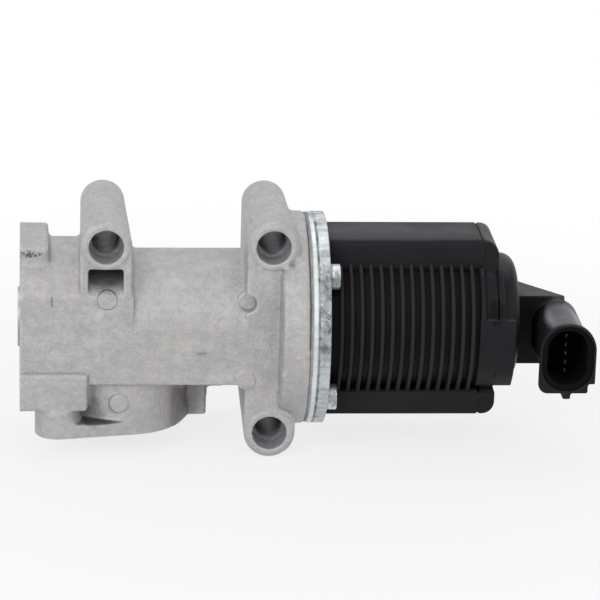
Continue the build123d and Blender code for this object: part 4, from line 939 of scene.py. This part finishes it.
def makeScrewTree(piece, size):
    # Puts a screw at each point of a ring of points about the stem, each turned its own way
    tree, given, sockets = openTree("screwRing", {
        "Count": "Int", "Circle Radius": "Float", "Face": "Float", "Seed Turn": "Float"})
    circle = addNode(tree, "GeometryNodeMeshCircle", {
        "Vertices": given["Count"], "Radius": given["Circle Radius"]})
    diagonal = addNode(tree, "GeometryNodeTransform", {
        "Geometry": circle.outputs["Mesh"], "Rotation": (0, 0, size["firstPlace"])})
    face = addNode(tree, "ShaderNodeCombineXYZ", {"X": given["Face"]})
    upright = addNode(tree, "GeometryNodeTransform", {
        "Geometry": diagonal.outputs["Geometry"], "Rotation": (0, math.radians(90), 0),
        "Translation": face.outputs["Vector"]})
    spin = addNode(tree, "FunctionNodeRandomValue", {"Seed": size["turnSeed"]}, data_type="FLOAT")
    for socket in enabledSockets(spin.inputs):
        if socket.name == "Max":
            feed(tree, socket, given["Seed Turn"])
    turn = addNode(tree, "ShaderNodeCombineXYZ", {"X": enabledSockets(spin.outputs)[0]})
    model = addNode(tree, "GeometryNodeObjectInfo", {"Object": piece})
    ring = addNode(tree, "GeometryNodeInstanceOnPoints", {
        "Points": upright.outputs["Geometry"], "Instance": model.outputs["Geometry"],
        "Rotation": turn.outputs["Vector"]})
    closeTree(tree, given, ring.outputs["Instances"])
    return tree, sockets


screwModel = bpy.data.objects.new("capScrewModel", makeScrew(screw))
scene.collection.objects.link(screwModel)
screwTree, screwSockets = makeScrewTree(screwModel, screw)
screwMesh = runTree("flangeScrews", bpy.data.meshes.new("screwSeed"), screwTree, screwSockets, {
    "Count": screw["count"], "Circle Radius": screw["circle"], "Face": screw["face"],
    "Seed Turn": screw["mostTurn"], "Material": finishes["zincScrew"]})
bpy.data.objects.remove(screwModel)
newPiece("flangeScrews", screwMesh, finishes["zincScrew"], "base", "zinc_plated_steel", "flange_screws")
print("screws done")


# Return spring: the CAD coil, given a mesh of its own

returnCoil = newPiece("returnCoil", nodes["return_spring"].data.copy(), finishes["springSteel"], "base",
                      "spring_steel", "return_spring")
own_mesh(returnCoil)


# Floor, light and camera. A lamp holds its power, width and place

studio = {
    "floorSize": 6.0, "floorDrop": 0.0005, "floorColour": (0.93, 0.93, 0.93), "floorShade": 0.99,
    "glowStart": 0.08, "glowEnd": 0.3, "glowNear": 0.78, "glowGain": 0.22, "skyForObject": 0.45,
    "lamps": {
        "keyLamp": (11.0, 1.2, (-0.8, -1.4, 0.9)),
        "fillLamp": (4.0, 1.6, (1.3, -1.1, 0.5)),
        "topLamp": (4.0, 1.4, (0.1, 0.5, 1.5)),
    },
}
aim = Vector(((cadBox[0][0] + cadBox[1][0]) / 2, 0, 0))


def seenRays(tree):
    # 1 for rays from the camera and for reflections
    rays = addNode(tree, "ShaderNodeLightPath").outputs
    return rays, mathNode(tree, "MAXIMUM", rays["Is Camera Ray"], rays["Is Glossy Ray"])


def makeFloor(size):
    # Pale paper that glows to white away from the object and keeps a soft shadow near it
    shape = bmesh.new()
    bmesh.ops.create_grid(shape, x_segments=1, y_segments=1, size=size["floorSize"])
    mesh = meshFrom("studioFloor", shape)
    mesh.transform(Matrix.Translation((aim.x, 0, cadBox[0][2] - size["floorDrop"])))
    floor = bpy.data.objects.new("studioFloor", mesh)
    scene.collection.objects.link(floor)
    material, tree, shader, place = startMaterial("palePaper", {"Roughness": 0.9, "Specular IOR Level": 0.0})
    patches = maskOf(tree, patchGroup, place, {"Scale": 8.0})
    shaded = tuple(size["floorShade"] * channel for channel in size["floorColour"])
    feed(tree, shader.inputs["Base Color"], mixColour(tree, patches, size["floorColour"], shaded))
    glow = addNode(tree, "ShaderNodeEmission", {"Color": (1, 1, 1, 1), "Strength": 1.0})
    far = rampNode(tree, vectorNode(tree, "DISTANCE", place, aim), size["glowStart"], size["glowEnd"])
    strength = mathNode(tree, "MULTIPLY_ADD", far, size["glowGain"], size["glowNear"])
    rays, seen = seenRays(tree)
    mix = addNode(tree, "ShaderNodeMixShader", {
        "Fac": mathNode(tree, "MULTIPLY", seen, strength), 1: shader.outputs["BSDF"],
        2: glow.outputs["Emission"]})
    tree.links.new(mix.outputs["Shader"], tree.nodes["Material Output"].inputs["Surface"])
    mesh.materials.append(material)


def makeSky(size):
    # White to the camera, in reflections and through glass, dimmer as the light on the object
    world = bpy.data.worlds.new("studioSky")
    scene.world = world
    world.use_nodes = True
    tree = world.node_tree
    background = tree.nodes["Background"]
    background.inputs["Color"].default_value = (1, 1, 1, 1)
    rays, seen = seenRays(tree)
    seen = mathNode(tree, "MAXIMUM", seen, rays["Is Transmission Ray"])
    strength = mathNode(tree, "MULTIPLY_ADD", seen, 1.0 - size["skyForObject"], size["skyForObject"])
    tree.links.new(strength, background.inputs["Strength"])


def addLamp(name, power, width, place):
    lamp = bpy.data.lights.new(name, "AREA")
    lamp.energy = power
    lamp.size = width
    holder = bpy.data.objects.new(name, lamp)
    holder.location = place
    holder.rotation_euler = (Vector(place) - aim).to_track_quat("Z", "Y").to_euler()
    scene.collection.objects.link(holder)


cameraPlan = {
    "azimuth": -5.05, "elevation": 18.49, "roll": 1.69, "distance": 1.1725, "target": (0.09357, 0.0, 0.00583),
    "frameWidth": 0.201, "sensor": 36.0, "nearest": 0.05,
}


def addCamera(plan):
    azimuth, elevation = math.radians(plan["azimuth"]), math.radians(plan["elevation"])
    back = Vector((math.sin(azimuth) * math.cos(elevation), -math.cos(azimuth) * math.cos(elevation),
                   math.sin(elevation)))
    data = bpy.data.cameras.new("studioCamera")
    data.sensor_width = plan["sensor"]
    data.lens = plan["sensor"] * plan["distance"] / plan["frameWidth"]
    data.clip_start = plan["nearest"]
    camera = bpy.data.objects.new("studioCamera", data)
    camera.rotation_mode = "QUATERNION"
    roll = Matrix.Rotation(math.radians(plan["roll"]), 3, "Z").to_quaternion()
    camera.rotation_quaternion = back.to_track_quat("Z", "Y") @ roll
    camera.location = Vector(plan["target"]) + back * plan["distance"]
    scene.collection.objects.link(camera)
    scene.camera = camera


makeFloor(studio)
makeSky(studio)
for lampName, lamp in studio["lamps"].items():
    addLamp(lampName, *lamp)
addCamera(cameraPlan)
scene.view_settings.view_transform = "Standard"
print("studio done")
